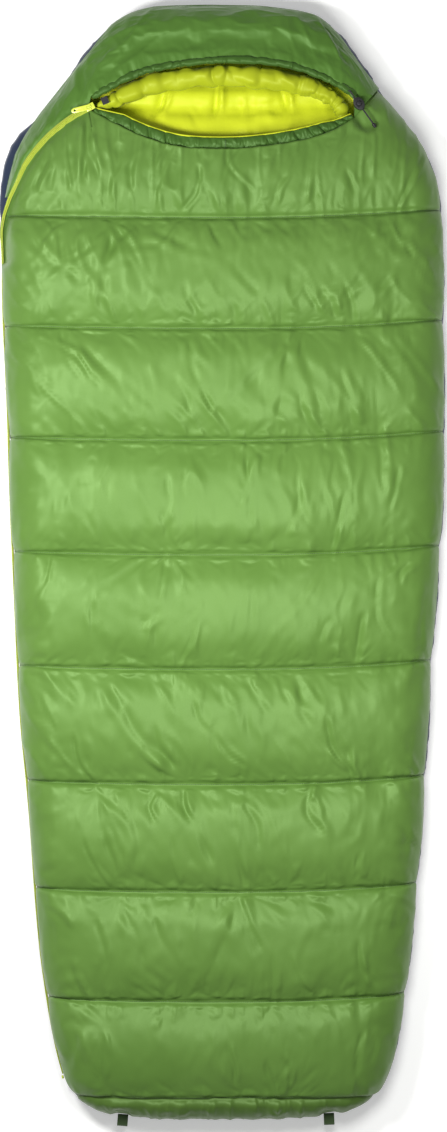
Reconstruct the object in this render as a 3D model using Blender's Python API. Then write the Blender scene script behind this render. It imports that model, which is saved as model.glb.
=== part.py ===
"""Mummy sleeping bag, zipped up and lying flat on its back.

Metres, +Z up, +Y towards the head, +X to the sleeper's left. The origin is on the floor under the middle
of the bag. The quilts are nested layers of shell, filling and liner over one plan outline; they meet at
the side seam. The upper corner of the front quilt folds back on a hinge line once the zip is open.
"""
import math

import bmesh
import bpy
from mathutils import Vector

# ---- driving dimensions -------------------------------------------------------------------------
SEAM_HEIGHT = 0.038        # side seam above the floor
EDGE_RADIUS = 0.060        # how far in from the seam the front quilt reaches its full height
BOTTOM_RADIUS = 0.042      # the same for the bottom quilt
FRONT_RISE = 0.062         # front quilt above the seam, just inside its rounded edge
CROWN = 0.016              # extra height towards the middle of the bag
CROWN_REACH = 0.35
QUILT_DIP = 0.009          # how far a quilting seam pulls the front quilt down
SEAM_GAP = 0.0004          # half of the gap between the front and the bottom at the side seam
FABRIC = 0.0015
LAYER_GAP = 0.0010
QUILT = 0.033              # depth of the filling's inner face below the shell's outer face

FIRST_SEAM_Y = 0.660       # quilting seam nearest the head
SEAM_PITCH = 0.2115
BAFFLES = 7
FOOT_SEAM_Y = -1.009
HEAD_ROW_Y = 0.930

ZIP_CENTRE = Vector((-0.112, 0.582))
ZIP_RADIUS = 0.3195
ZIP_TOP = math.radians(116.0)       # the slider's place when the zip is closed
ZIP_FOLD = math.radians(146.0)      # where the fold line of the front corner meets the zip
ZIP_SLOPE = Vector((0.0525, 0.0456))
ZIP_TOP_HEIGHT = 0.112
ZIP_GROOVE = 0.006
ZIP_START = math.radians(158.0)     # where the zip's arc meets the outline
ZIP_EDGE = 0.0025          # from the zip's centre line to the fabric on each side
FILL_EDGE = 0.0100         # from the zip's centre line to the corner's filling
TAPE_WIDTH = 0.0085
TAPE_THICK = 0.0008
COIL_RADIUS = 0.0013
SIDE_ZIP_OUT = 0.0036      # zip proud of the side seam down the left edge
COIL_CLEAR = 0.0022        # from the zip's centre line to the middle of each coil
STOP_LENGTH = 0.0060

SLIDER_HALF_LENGTH = 0.0085
SLIDER_HALF_WIDTH = 0.0062
PULL_PIVOT_HEIGHT = 0.0048  # of the pull tab's pivot above the zip's centre line
PULL_LENGTH = 0.036
PULL_HALF_WIDTH = 0.0050
PULL_HALF_THICK = 0.0009
PULL_SLOT = 0.0022         # half of the gap in the pull tab's fork
PULL_HOLE_RADIUS = 0.0021

HEM_WIDTH = 0.014
HEM_HEIGHT = 0.011
CORD_RADIUS = 0.0015
ROLL_RADIUS = 0.0215       # padded roll inside the hood's edge, across
ROLL_HALF_HEIGHT = 0.0230
ROLL_HEIGHT = 0.0860       # of the roll's middle above the floor
CHEST_HEM_WIDTH = 0.0200
CHEST_HEM_DEPTH = 0.0310
PIPING_RADIUS = 0.0022
FOLD_END = Vector((-0.030, 0.790))
FOLD_GAP = 0.0012          # between the corner that folds back and the rest of the front quilt

LOCK_AT = Vector((0.2563, 0.8745))
LOCK_BASE = 0.1075
LOCK_HEIGHT = 0.0150
LOCK_RADIUS = 0.0100
POCKET_RADIUS = 0.0048
BUTTON_RADIUS = 0.0045
CORD_HOLE = 0.0021         # half of the passage for the cord
SPRING_RADIUS = 0.0034
SPRING_WIRE = 0.0003
CORD_HEIGHT = LOCK_BASE + 0.0085
TAIL_END = Vector((0.2830, 0.8370))

TUBE_IN = 0.070            # draft tube in from the left edge
WEBBING_WIDTH = 0.020
WEBBING_THICK = 0.0014
WEBBING_LENGTH = 0.0225
WEBBING_GAP = 0.0036       # half of the opening of a foot loop
WEBBING_CLEAR = 0.0035     # foot loop clear of the foot's edge

# Plan outline at the side seam, anticlockwise from the foot end, as (x, y) points of one smooth loop.
OUTLINE = [
    (0.000, -1.0530), (0.110, -1.0520), (0.205, -1.0450), (0.262, -1.0280), (0.299, -1.0010),
    (0.318, -0.960), (0.336, -0.890), (0.353, -0.780), (0.371, -0.600), (0.387, -0.380),
    (0.398, -0.180), (0.411, -0.020), (0.420, 0.150), (0.4225, 0.300), (0.4205, 0.480),
    (0.4195, 0.600), (0.416, 0.690), (0.402, 0.748), (0.376, 0.805), (0.340, 0.856), (0.297, 0.912),
    (0.260, 0.964), (0.222, 1.017), (0.178, 1.052), (0.115, 1.068), (0.030, 1.0735), (-0.070, 1.0735),
    (-0.150, 1.067), (-0.205, 1.043), (-0.253, 0.992), (-0.300, 0.929), (-0.350, 0.868),
    (-0.386, 0.814), (-0.407, 0.758), (-0.418, 0.688), (-0.4215, 0.600), (-0.4205, 0.480),
    (-0.413, 0.320), (-0.407, 0.130), (-0.399, -0.050), (-0.388, -0.280), (-0.371, -0.460),
    (-0.353, -0.700), (-0.331, -0.860), (-0.309, -0.960), (-0.290, -1.0030), (-0.260, -1.0280),
    (-0.213, -1.0450), (-0.120, -1.0520)]

# Edge of the hood around the face, and the top of the front quilt's chest edge, left to right.
HOOD_EDGE = [(-0.246, 0.884), (-0.165, 0.927), (-0.080, 0.946), (0.020, 0.9535), (0.117, 0.945),
             (0.195, 0.918), (0.243, 0.890)]
CHEST_EDGE = [(-0.256, 0.866), (-0.222, 0.846), (-0.155, 0.813), (-0.080, 0.792), (0.020, 0.7885),
              (0.117, 0.799), (0.200, 0.820), (0.247, 0.848)]
SHOULDER_SEAM_END = Vector((0.297, 0.912))

COLOURS = {
    "shell_green": ((0.155, 0.330, 0.075), 0.42, 0.0),
    "hood_green": ((0.085, 0.215, 0.035), 0.45, 0.0),
    "liner_lime": ((0.620, 0.730, 0.030), 0.50, 0.0),
    "navy": ((0.030, 0.045, 0.085), 0.50, 0.0),
    "filling_white": ((0.800, 0.800, 0.780), 0.90, 0.0),
    "lime_plastic": ((0.640, 0.740, 0.040), 0.35, 0.0),
    "black_plastic": ((0.012, 0.011, 0.014), 0.30, 0.0),
    "black_cord": ((0.014, 0.013, 0.016), 0.70, 0.0),
    "spring_steel": ((0.600, 0.600, 0.610), 0.30, 1.0),
    "webbing_green": ((0.050, 0.100, 0.025), 0.70, 0.0),
}


# ---- small helpers ------------------------------------------------------------------------------
def clear_scene():
    for thing in list(bpy.data.objects):
        bpy.data.objects.remove(thing, do_unlink=True)


def material(name):
    """One Principled material per finish, made the first time it is asked for."""
    found = bpy.data.materials.get(name)
    if found:
        return found
    colour, roughness, metallic = COLOURS[name]
    made = bpy.data.materials.new(name)
    made.use_nodes = True
    shader = made.node_tree.nodes["Principled BSDF"]
    shader.inputs["Base Color"].default_value = (*colour, 1.0)
    shader.inputs["Roughness"].default_value = roughness
    shader.inputs["Metallic"].default_value = metallic
    return made


def make_object(name, verts, faces, finish, origin=(0.0, 0.0, 0.0)):
    """A mesh object whose origin is at `origin`; verts are world points."""
    base = Vector(origin)
    mesh = bpy.data.meshes.new(name)
    mesh.from_pydata([tuple(Vector(v) - base) for v in verts], [], faces)
    tidy = bmesh.new()
    tidy.from_mesh(mesh)
    bmesh.ops.recalc_face_normals(tidy, faces=tidy.faces)
    if tidy.calc_volume(signed=True) < 0:
        bmesh.ops.reverse_faces(tidy, faces=tidy.faces)
    tidy.to_mesh(mesh)
    tidy.free()
    mesh.shade_smooth()
    mesh.set_sharp_from_angle(angle=math.radians(35))
    thing = bpy.data.objects.new(name, mesh)
    thing.location = base
    mesh.materials.append(material(finish))
    bpy.context.scene.collection.objects.link(thing)
    return thing


def hide(cutter):
    """Mark a cutter, which is not a piece of the bag."""
    cutter.hide_render = True
    cutter.display_type = "WIRE"
    return cutter


def catmull(points, per_span, closed=False):
    """Points of a smooth curve through `points`, `per_span` to each stretch."""
    pts = [Vector(p) for p in points]
    count = len(pts)
    spans = count if closed else count - 1
    result = []
    for i in range(spans):
        if closed:
            a, b, c, d = (pts[(i + k - 1) % count] for k in range(4))
        else:
            a, b, c, d = (pts[min(max(i + k - 1, 0), count - 1)] for k in range(4))
        for k in range(per_span):
            t = k / per_span
            result.append(0.5 * (2 * b + (c - a) * t + (2 * a - 5 * b + 4 * c - d) * t ** 2
                                 + (3 * b - a - 3 * c + d) * t ** 3))
    if not closed:
        result.append(pts[-1].copy())
    return result


def along(line, fraction):
    """The point a given fraction of the way along a polyline."""
    lengths = [(b - a).length for a, b in zip(line, line[1:])]
    left = fraction * sum(lengths)
    for a, b, length in zip(line, line[1:], lengths):
        if left <= length:
            return a.lerp(b, left / length if length else 0.0)
        left -= length
    return line[-1].copy()


# ---- the plan outline ---------------------------------------------------------------------------
LOOP = catmull(OUTLINE, 5, closed=True)


def row_ends(y):
    """Left and right x of the outline at a given y."""
    crossings = []
    for a, b in zip(LOOP, LOOP[1:] + LOOP[:1]):
        if (a.y - y) * (b.y - y) < 0 or a.y == y:
            crossings.append(a.x + (b.x - a.x) * (y - a.y) / (b.y - a.y))
    return min(crossings), max(crossings)


def edge_of(x, y):
    """Distance from a plan point to the outline, and the direction out to it."""
    point = Vector((x, y))
    best, nearest, way = 9.0, None, None
    for a, b in zip(LOOP, LOOP[1:] + LOOP[:1]):
        run = b - a
        t = min(max((point - a).dot(run) / run.length_squared, 0.0), 1.0)
        candidate = a + run * t
        gap = (point - candidate).length
        if gap < best:
            best, nearest, way = gap, candidate, run
    if best < 1e-5:
        return best, Vector((way.y, -way.x)).normalized()
    return best, (nearest - point).normalized()


def outline_between(start, end):
    """The stretch of the outline, anticlockwise, from near one plan point to near another."""
    first = min(range(len(LOOP)), key=lambda i: (LOOP[i] - Vector(start)).length)
    last = min(range(len(LOOP)), key=lambda i: (LOOP[i] - Vector(end)).length)
    if last < first:
        last += len(LOOP)
    return [LOOP[i % len(LOOP)] for i in range(first, last + 1)]


def zip_plan(angle, out=0.0):
    """Plan point on the zip's arc, `out` further from its centre."""
    reach = ZIP_RADIUS + out
    return ZIP_CENTRE + Vector((math.cos(angle), math.sin(angle))) * reach


def quilt_dip(y):
    """0 in the middle of a baffle, 1 at a quilting seam."""
    if y > FIRST_SEAM_Y + SEAM_PITCH / 2 or y < FOOT_SEAM_Y:
        return 0.0
    phase = (FIRST_SEAM_Y - y) / SEAM_PITCH
    return max(0.0, math.cos(2 * math.pi * phase)) ** 2


def zip_dip(x, y):
    """1 on the zip's arc, fading to 0 within 25 mm of it."""
    offset = Vector((x, y)) - ZIP_CENTRE
    angle = math.atan2(offset.y, offset.x)
    if not ZIP_TOP - 0.1 < angle < ZIP_FOLD + 0.2:
        return 0.0
    return math.exp(-((offset.length - ZIP_RADIUS) / 0.014) ** 2)


def front_point(x, y, depth):
    """A point of the front quilt or hood, `depth` below its outer face."""
    gap, way = edge_of(x, y)
    t = max(0.0, 1.0 - gap / EDGE_RADIUS)
    crown = CROWN * (1.0 - (1.0 - min(gap / CROWN_REACH, 1.0)) ** 2)
    rise = FRONT_RISE + crown - QUILT_DIP * quilt_dip(y) - ZIP_GROOVE * zip_dip(x, y)
    z = SEAM_HEIGHT + SEAM_GAP + (rise - depth) * math.sqrt(1.0 - t * t)
    return Vector((x - way.x * depth * t, y - way.y * depth * t, z))


def bottom_point(x, y, depth):
    """A point of the bottom quilt, `depth` above its underside."""
    gap, way = edge_of(x, y)
    t = max(0.0, 1.0 - gap / BOTTOM_RADIUS)
    z = SEAM_HEIGHT - SEAM_GAP - (SEAM_HEIGHT - SEAM_GAP - depth) * math.sqrt(1.0 - t * t)
    return Vector((x - way.x * depth * t, y - way.y * depth * t, z))


def flat_point(x, y, depth, z):
    """A point at height z, pulled in from the outline by `depth`."""
    gap, way = edge_of(x, y)
    t = max(0.0, 1.0 - gap / BOTTOM_RADIUS)
    return Vector((x - way.x * depth * t, y - way.y * depth * t, z))


# ---- plan grids ---------------------------------------------------------------------------------
EDGE_STEPS = (0.0, 0.004, 0.017, 0.038)   # distances from the outline of the first columns
MIDDLE_COLUMNS = 10
ZIP_COLUMNS = 5
CHEST_COLUMNS = MIDDLE_COLUMNS + len(EDGE_STEPS) - 1 - ZIP_COLUMNS


def row(y):
    """Plan points across the bag at one y, closer together at the rounded edges."""
    left, right = row_ends(y)
    inner_left, inner_right = left + EDGE_STEPS[-1], right - EDGE_STEPS[-1]
    steps = MIDDLE_COLUMNS + 1
    xs = [left + s for s in EDGE_STEPS]
    xs += [inner_left + (inner_right - inner_left) * k / steps for k in range(1, steps)]
    xs += [right - s for s in reversed(EDGE_STEPS)]
    return [Vector((x, y)) for x in xs]


def end_rows(base, arc, fractions):
    """Rows that fan from a straight row to the arc of outline beyond it."""
    left, width = base[0].x, base[-1].x - base[0].x
    outer = [along(arc, (p.x - left) / width) for p in base]
    return [[a.lerp(b, f) for a, b in zip(base, outer)] for f in fractions]


def zip_side(out):
    """Plan points beside the zip, from the outline up to the slider."""
    turn = ZIP_TOP - ZIP_START
    return [zip_plan(ZIP_START + turn * k / ZIP_COLUMNS, out) for k in range(ZIP_COLUMNS)]


def chest_edge(count):
    """Plan points along the chest edge, without its right end."""
    line = catmull(CHEST_EDGE, 6)
    return [along(line, k / count) for k in range(count)]


def chest_rows(fractions):
    """Rows from the first quilting seam up to the zip, the chest edge and the shoulder seam."""
    base = row(FIRST_SEAM_Y)
    corner = Vector(CHEST_EDGE[-1])
    top = zip_side(-ZIP_EDGE) + chest_edge(CHEST_COLUMNS)
    seam_length = (SHOULDER_SEAM_END - corner).length
    stops = [seam_length] + [s * 1.15 for s in reversed(EDGE_STEPS)]
    top += [SHOULDER_SEAM_END.lerp(corner, s / seam_length) for s in stops]
    left_line = [base[0], top[0]]
    right_line = outline_between(base[-1], SHOULDER_SEAM_END)
    right_line[0], right_line[-1] = base[-1], top[-1]
    rows = []
    for v in fractions:
        left_shift = along(left_line, v) - base[0].lerp(top[0], v)
        right_shift = along(right_line, v) - base[-1].lerp(top[-1], v)
        line = []
        for k, (a, b) in enumerate(zip(base, top)):
            u = (a.x - base[0].x) / (base[-1].x - base[0].x)
            line.append(a.lerp(b, v) + left_shift * (1 - u) + right_shift * u ** 2)
        rows.append(line)
    return rows


def foot_rows(fractions):
    base = row(FOOT_SEAM_Y)
    arc = outline_between((base[0].x, FOOT_SEAM_Y - 0.010), (base[-1].x, FOOT_SEAM_Y - 0.010))
    return end_rows(base, arc, fractions)


def head_rows(fractions):
    base = row(HEAD_ROW_Y)
    arc = outline_between((base[-1].x, HEAD_ROW_Y + 0.015), (base[0].x, HEAD_ROW_Y + 0.015))
    return end_rows(base, arc[::-1], fractions)


def hood_rows(fractions):
    """Rows from the zip and the hood's edge out to the outline over the head."""
    hood_line = [p + hood_normal(p) * (HEM_WIDTH + 0.003) for p in catmull(HOOD_EDGE, 6)]
    arc = outline_between(SHOULDER_SEAM_END, (-0.418, 0.700))[::-1]
    arc[-1] = SHOULDER_SEAM_END
    hood_columns = 11
    inner = zip_side(ZIP_EDGE)
    inner += [along(hood_line, k / hood_columns) for k in range(hood_columns + 1)]
    share = [0.0, 0.06, 0.12, 0.18, 0.24, 0.31]
    more = [share[-1] + (1.0 - share[-1]) * k / hood_columns for k in range(1, hood_columns + 1)]
    outer = [along(arc, s) for s in share + more]
    return [[a.lerp(b, f) for a, b in zip(inner, outer)] for f in fractions]


def hood_normal(point):
    """Plan direction away from the face opening."""
    away = point - Vector((0.0, 0.62))
    return away.normalized()


def sheet_solid(name, rows, outer, inner, finish):
    """A closed solid between two faces, each a function of plan x and y."""
    count, width = len(rows), len(rows[0])
    verts = [outer(p.x, p.y) for line in rows for p in line]
    verts += [inner(p.x, p.y) for line in rows for p in line]
    under = count * width
    faces = []
    for i in range(count - 1):
        for k in range(width - 1):
            a = i * width + k
            near, far, across = a + 1, a + width, a + width + 1
            faces += [(a, near, across), (a, across, far)]
            faces += [(under + a, under + across, under + near), (under + a, under + far, under + across)]
    rim = [k for k in range(width)]
    rim += [i * width + width - 1 for i in range(1, count)]
    rim += [(count - 1) * width + k for k in range(width - 2, -1, -1)]
    rim += [i * width for i in range(count - 2, 0, -1)]
    for a, b in zip(rim, rim[1:] + rim[:1]):
        faces.append((b, a, under + a, under + b))
    return make_object(name, verts, faces, finish)


# ---- sweeps -------------------------------------------------------------------------------------
def sweep(name, frames, section, finish, origin=(0.0, 0.0, 0.0)):
    """A closed section, as (across, up) pairs, carried along frames of (point, across, up)."""
    size = len(section)
    verts = []
    for point, across, up in frames:
        verts += [point + across * a + up * b for a, b in section]
    faces = []
    for i in range(len(frames) - 1):
        for k in range(size):
            a, b = i * size + k, i * size + (k + 1) % size
            faces.append((a, b, b + size, a + size))
    faces.append(tuple(range(size - 1, -1, -1)))
    faces.append(tuple(range((len(frames) - 1) * size, len(frames) * size)))
    return make_object(name, verts, faces, finish, origin)


def ellipse(a, b, sides, centre=(0.0, 0.0)):
    turn = 2 * math.pi / sides
    return [(centre[0] + a * math.cos(turn * k), centre[1] + b * math.sin(turn * k)) for k in range(sides)]


def box_section(left, right, low, high):
    return [(left, low), (right, low), (right, high), (left, high)]


def plan_frames(line, height, side=1.0):
    """Upright frames along a plan line; `across` points to its left when side is 1."""
    frames = []
    for i, p in enumerate(line):
        ahead = line[min(i + 1, len(line) - 1)] - line[max(i - 1, 0)]
        across = Vector((-ahead.y, ahead.x, 0.0)).normalized() * side
        frames.append((Vector((p.x, p.y, height(p))), across, Vector((0, 0, 1))))
    return frames


# ---- the zip's line -----------------------------------------------------------------------------
ZIP_UP = Vector((-ZIP_SLOPE.x, -ZIP_SLOPE.y, 1.0)).normalized()


def zip_height(plan):
    """Height of the tilted plane that holds the zip's arc."""
    return ZIP_TOP_HEIGHT + (plan - zip_plan(ZIP_TOP)).dot(ZIP_SLOPE)


ZIP_PIVOT = Vector((*ZIP_CENTRE, zip_height(ZIP_CENTRE)))
ZIP_EAST = Vector((0.0, 1.0, 0.0)).cross(ZIP_UP).normalized()
ZIP_NORTH = ZIP_UP.cross(ZIP_EAST)


def zip_frame(angle):
    """Frame on the zip's arc: across points away from the arc's centre, to the hood's side."""
    across = ZIP_EAST * math.cos(angle) + ZIP_NORTH * math.sin(angle)
    return ZIP_PIVOT + across * ZIP_RADIUS, across, ZIP_UP


def arc_frames(start, end, step=math.radians(3.0)):
    count = max(2, round(abs(end - start) / step))
    return [zip_frame(start + (end - start) * k / count) for k in range(count + 1)]


def side_frames():
    """From the fold line, over the shoulder and down the left side seam to the foot."""
    start, across, up = zip_frame(ZIP_FOLD)
    stops = [(start, across, up)]
    turn = [(-0.3935, 0.7270, 0.0960, 0.25), (-0.4115, 0.6900, 0.0820, 0.55),
            (-0.4240, 0.6450, 0.0590, 0.85)]
    for x, y, z, lean in turn:
        stops.append((Vector((x, y, z)), None, lean))
    left_side = [p for p in LOOP if p.x < 0 and -0.985 < p.y < 0.600]
    for p in left_side[::3]:
        out = edge_of(p.x + 0.004, p.y)[1] * SIDE_ZIP_OUT
        stops.append((Vector((p.x + out.x, p.y + out.y, SEAM_HEIGHT)), None, 1.0))
    frames = [stops[0]]
    for i in range(1, len(stops)):
        point, _, lean = stops[i]
        ahead = (stops[min(i + 1, len(stops) - 1)][0] - stops[i - 1][0]).normalized()
        _, way = edge_of(point.x + 0.004, point.y)
        out = Vector((way.x, way.y, 0.0))
        normal = (ZIP_UP * (1 - lean) + out * lean).normalized()
        over = normal.cross(ahead).normalized()
        if over.z > 0 and lean >= 1.0:
            over = -over
        if lean < 1.0 and over.dot(across) < 0:
            over = -over
        normal = ahead.cross(over) if ahead.cross(over).dot(normal) > 0 else over.cross(ahead)
        frames.append((point, over, normal.normalized()))
    return frames


# ---- quilts -------------------------------------------------------------------------------------
# How far each row of a grid lies from its first edge to its last, as a share.
CHEST = (0.0, 0.2, 0.45, 0.7, 0.88, 1.0)
FOOT = (0.0, 0.45, 0.8, 0.96, 1.0)
BODY_Y = [FIRST_SEAM_Y - SEAM_PITCH * k / 2 for k in range(2 * BAFFLES + 1)] + [-0.915, FOOT_SEAM_Y]


def layer(outer_depth, inner_depth, place):
    """The two faces of one layer of a quilt, as functions of plan x and y."""
    def outer(x, y):
        return place(x, y, outer_depth)

    def inner(x, y):
        return place(x, y, inner_depth)
    return outer, inner


FILL_TOP = FABRIC + LAYER_GAP
SHELL_LAYER = layer(0.0, FABRIC, front_point)
FILL_LAYER = layer(FILL_TOP, QUILT, front_point)
LINER_LAYER = layer(QUILT + LAYER_GAP, QUILT + LAYER_GAP + FABRIC, front_point)


def fold_wedge(name, inset):
    """Cutter that holds the corner of the front quilt beyond the fold line."""
    start = zip_plan(ZIP_FOLD)
    run = (FOLD_END - start).normalized()
    out = Vector((-run.y, run.x))
    base = start + out * inset
    near, far = base - run * 0.10, base + run * ((FOLD_END - start).length - inset)
    plan = [near, far, far + out * 0.30, near + out * 0.30]
    verts = [(p.x, p.y, z) for z in (SEAM_HEIGHT - 0.02, 0.20) for p in plan]
    faces = [(3, 2, 1, 0), (4, 5, 6, 7)] + [(k, (k + 1) % 4, 4 + (k + 1) % 4, 4 + k) for k in range(4)]
    return hide(make_object(name, verts, faces, "filling_white"))


def cut(thing, cutter, operation):
    modifier = thing.modifiers.new("cut", "BOOLEAN")
    modifier.operation = operation
    modifier.solver = "EXACT"
    modifier.object = cutter


def zip_channel():
    """Cutter along the zip that keeps the corner's filling clear of the slider."""
    turn = ZIP_FOLD + math.radians(4.0) - (ZIP_TOP - math.radians(7.0))
    line = [zip_plan(ZIP_TOP - math.radians(7.0) + turn * k / 14) for k in range(15)]
    frames = plan_frames(line, lambda p: SEAM_HEIGHT)
    return hide(sweep("cutter_zip_channel", frames, box_section(-FILL_EDGE, FILL_EDGE, -0.01, 0.12), "navy"))


def front_quilt():
    """The front quilt in two parts: the main panel and the corner that folds back."""
    outside = fold_wedge("cutter_main", 0.0)
    inside = fold_wedge("cutter_corner", FOLD_GAP)
    body = [row(y) for y in reversed(BODY_Y)]
    ends = foot_rows(FOOT)[::-1]
    chest = chest_rows(CHEST)
    layers = [("shell", SHELL_LAYER, "shell_green", body[:-1]),
              ("insulation", FILL_LAYER, "filling_white", ends[:-1] + body[:-1]),
              ("liner", LINER_LAYER, "liner_lime", ends[:-1] + body[:-1])]
    for kind, (outer, inner), finish, rows in layers:
        cut(sheet_solid("top_" + kind, rows + chest, outer, inner, finish), outside, "DIFFERENCE")
        corner = sheet_solid("corner_" + kind, chest, outer, inner, finish)
        cut(corner, inside, "INTERSECT")
        if kind == "insulation":
            cut(corner, zip_channel(), "DIFFERENCE")
    band = [[p + Vector((0.0, -0.0015)) if i == len(ends) - 1 else p for p in line]
            for i, line in enumerate(ends)]
    sheet_solid("foot_band", band, *SHELL_LAYER, "hood_green")


def hood():
    rows = hood_rows((0.0, 0.28, 0.52, 0.72, 0.87, 0.97, 1.0))
    layers = [("shell", SHELL_LAYER, "hood_green"), ("insulation", FILL_LAYER, "filling_white"),
              ("liner", LINER_LAYER, "liner_lime")]
    for kind, (outer, inner), finish in layers:
        sheet_solid("hood_" + kind, rows, outer, inner, finish)


def bottom_quilt():
    rows = foot_rows(FOOT)[::-1][:-1] + [row(y) for y in reversed(BODY_Y)]
    rows += [row(0.760), row(0.850)] + head_rows((0.0, 0.45, 0.8, 0.96, 1.0))
    shell = layer(0.0, FABRIC, bottom_point)
    sheet_solid("bottom_shell", rows, *shell, "navy")
    liner_low = SEAM_HEIGHT - SEAM_GAP - FABRIC

    fill_depth = 2 * FILL_TOP

    def fill_top(x, y):
        return flat_point(x, y, fill_depth, liner_low - LAYER_GAP)

    def fill_low(x, y):
        point = bottom_point(x, y, fill_depth)
        point.z = min(point.z, liner_low - 2 * LAYER_GAP)
        return point

    def liner_face(z):
        return lambda x, y: flat_point(x, y, FILL_TOP, z)
    sheet_solid("bottom_insulation", rows, fill_top, fill_low, "filling_white")
    sheet_solid("bottom_liner", rows, liner_face(SEAM_HEIGHT - SEAM_GAP), liner_face(liner_low), "liner_lime")


# ---- edges around the face ----------------------------------------------------------------------
def hood_edge_height(plan):
    return front_point(plan.x, plan.y, 0.0).z


def face_edges():
    hood_line = catmull(HOOD_EDGE, 4)
    channel = [(0.0, 0.0), (HEM_WIDTH, 0.0), (HEM_WIDTH, -0.0015), (0.0015, -0.0015),
               (0.0015, 0.0015 - HEM_HEIGHT), (HEM_WIDTH, 0.0015 - HEM_HEIGHT),
               (HEM_WIDTH, -HEM_HEIGHT), (0.0, -HEM_HEIGHT)]
    frames = plan_frames(hood_line[:-2], lambda p: hood_edge_height(p) + 0.001)
    sweep("hood_hem", frames, channel, "hood_green")
    roll_line = [p - hood_normal(p) * (ROLL_RADIUS + 0.002) for p in hood_line]
    roll_line = [p for p in roll_line if -0.196 < p.x < 0.205]
    roll_line.append(Vector((0.2175, 0.8580)))
    sweep("face_roll", plan_frames(roll_line, lambda p: ROLL_HEIGHT),
          ellipse(ROLL_RADIUS, ROLL_HALF_HEIGHT, 12), "liner_lime")
    chest_line = chest_edge(CHEST_COLUMNS) + [Vector(CHEST_EDGE[-1])]
    split = Vector((FOLD_END.x, chest_y(chest_line, FOLD_END.x)))
    start = chest_line[0].lerp(chest_line[1], 0.15)
    ends = {"chest_hem_corner": [start] + [p for p in chest_line[1:] if p.x < split.x] + [split],
            "chest_hem": [split + Vector((0.002, 0.0))] + [p for p in chest_line if p.x > split.x]}
    for name, line in ends.items():
        frames = plan_frames(line, lambda p: hood_edge_height(p))
        sweep(name, frames, box_section(0.0010, CHEST_HEM_WIDTH, -CHEST_HEM_DEPTH, -0.001), "hood_green")
        piping = ellipse(PIPING_RADIUS, PIPING_RADIUS, 8, (CHEST_HEM_WIDTH - PIPING_RADIUS, 0.0016))
        sweep(name.replace("hem", "piping"), frames, piping, "liner_lime")


def chest_y(line, x):
    for a, b in zip(line, line[1:]):
        if a.x <= x <= b.x:
            return a.y + (b.y - a.y) * (x - a.x) / (b.x - a.x)
    return line[-1].y


# ---- zip ----------------------------------------------------------------------------------------
def zip_parts():
    side = side_frames()
    top_end = ZIP_TOP - 0.0056 / ZIP_RADIUS
    arc = arc_frames(top_end, ZIP_FOLD)
    whole = arc[:-1] + side
    front_gap = math.radians(0.25)
    corner = arc_frames(top_end, ZIP_FOLD - front_gap)
    tape_half = box_section(COIL_CLEAR, COIL_CLEAR + TAPE_WIDTH - 0.001, -TAPE_THICK - COIL_RADIUS,
                            -COIL_RADIUS - 0.0001)
    tape_front = [(-a, b) for a, b in reversed(tape_half)]
    coil_rear = ellipse(COIL_RADIUS - 0.0002, COIL_RADIUS - 0.0002, 6, (COIL_CLEAR - 0.0002, 0.0))
    coil_front = [(-a, b) for a, b in reversed(coil_rear)]
    sweep("zip_tape_rear", whole, tape_half, "lime_plastic")
    sweep("zip_coil_rear", whole, coil_rear, "lime_plastic")
    sweep("zip_tape_front", side, tape_front, "lime_plastic")
    sweep("zip_coil_front", side, coil_front, "lime_plastic")
    sweep("zip_tape_corner", corner, tape_front, "lime_plastic")
    sweep("zip_coil_corner", corner, coil_front, "lime_plastic")
    slider(ZIP_TOP)
    last, over, up = side[-1]
    ahead = (side[-1][0] - side[-2][0]).normalized()
    stop = [(last + ahead * s, over, up) for s in (0.0006, 0.0006 + STOP_LENGTH)]
    sweep("zip_stop", stop, box_section(-0.0045, 0.0045, -0.0018, 0.0018), "lime_plastic")


def slider(angle):
    """Slider with a bridge between its plates, and its pull tab lying back along the zip."""
    point, across, up = zip_frame(angle)
    ahead = up.cross(across)                   # along the arc, down towards the foot
    length = SLIDER_HALF_LENGTH

    def placed(low, high, section):
        return [(point + ahead * s, across, up) for s in (low, high)], section
    plate_half = SLIDER_HALF_WIDTH
    outline = [(-plate_half, -0.0040), (plate_half, -0.0040), (plate_half, -0.0028), (-plate_half, -0.0028)]
    body = sweep("zip_slider", *placed(-length, length, outline), "lime_plastic", origin=ZIP_PIVOT)
    plate = box_section(-plate_half, plate_half, 0.0016, 0.0030)
    top_plate = sweep("slider_top", *placed(-length, length, plate), "lime_plastic")
    divider = sweep("slider_bridge", *placed(-length - 0.0005, -length + 0.0022,
                                             box_section(-0.0006, 0.0006, -0.0036, 0.0026)),
                    "lime_plastic")
    lug = sweep("slider_lug", *placed(-0.0028, 0.0028, box_section(-0.0011, 0.0011, 0.0025, 0.0062)),
                "lime_plastic")
    for piece in (top_plate, divider, lug):
        cut(body, hide(piece), "UNION")
    pull(point, across, up, ahead)


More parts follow.
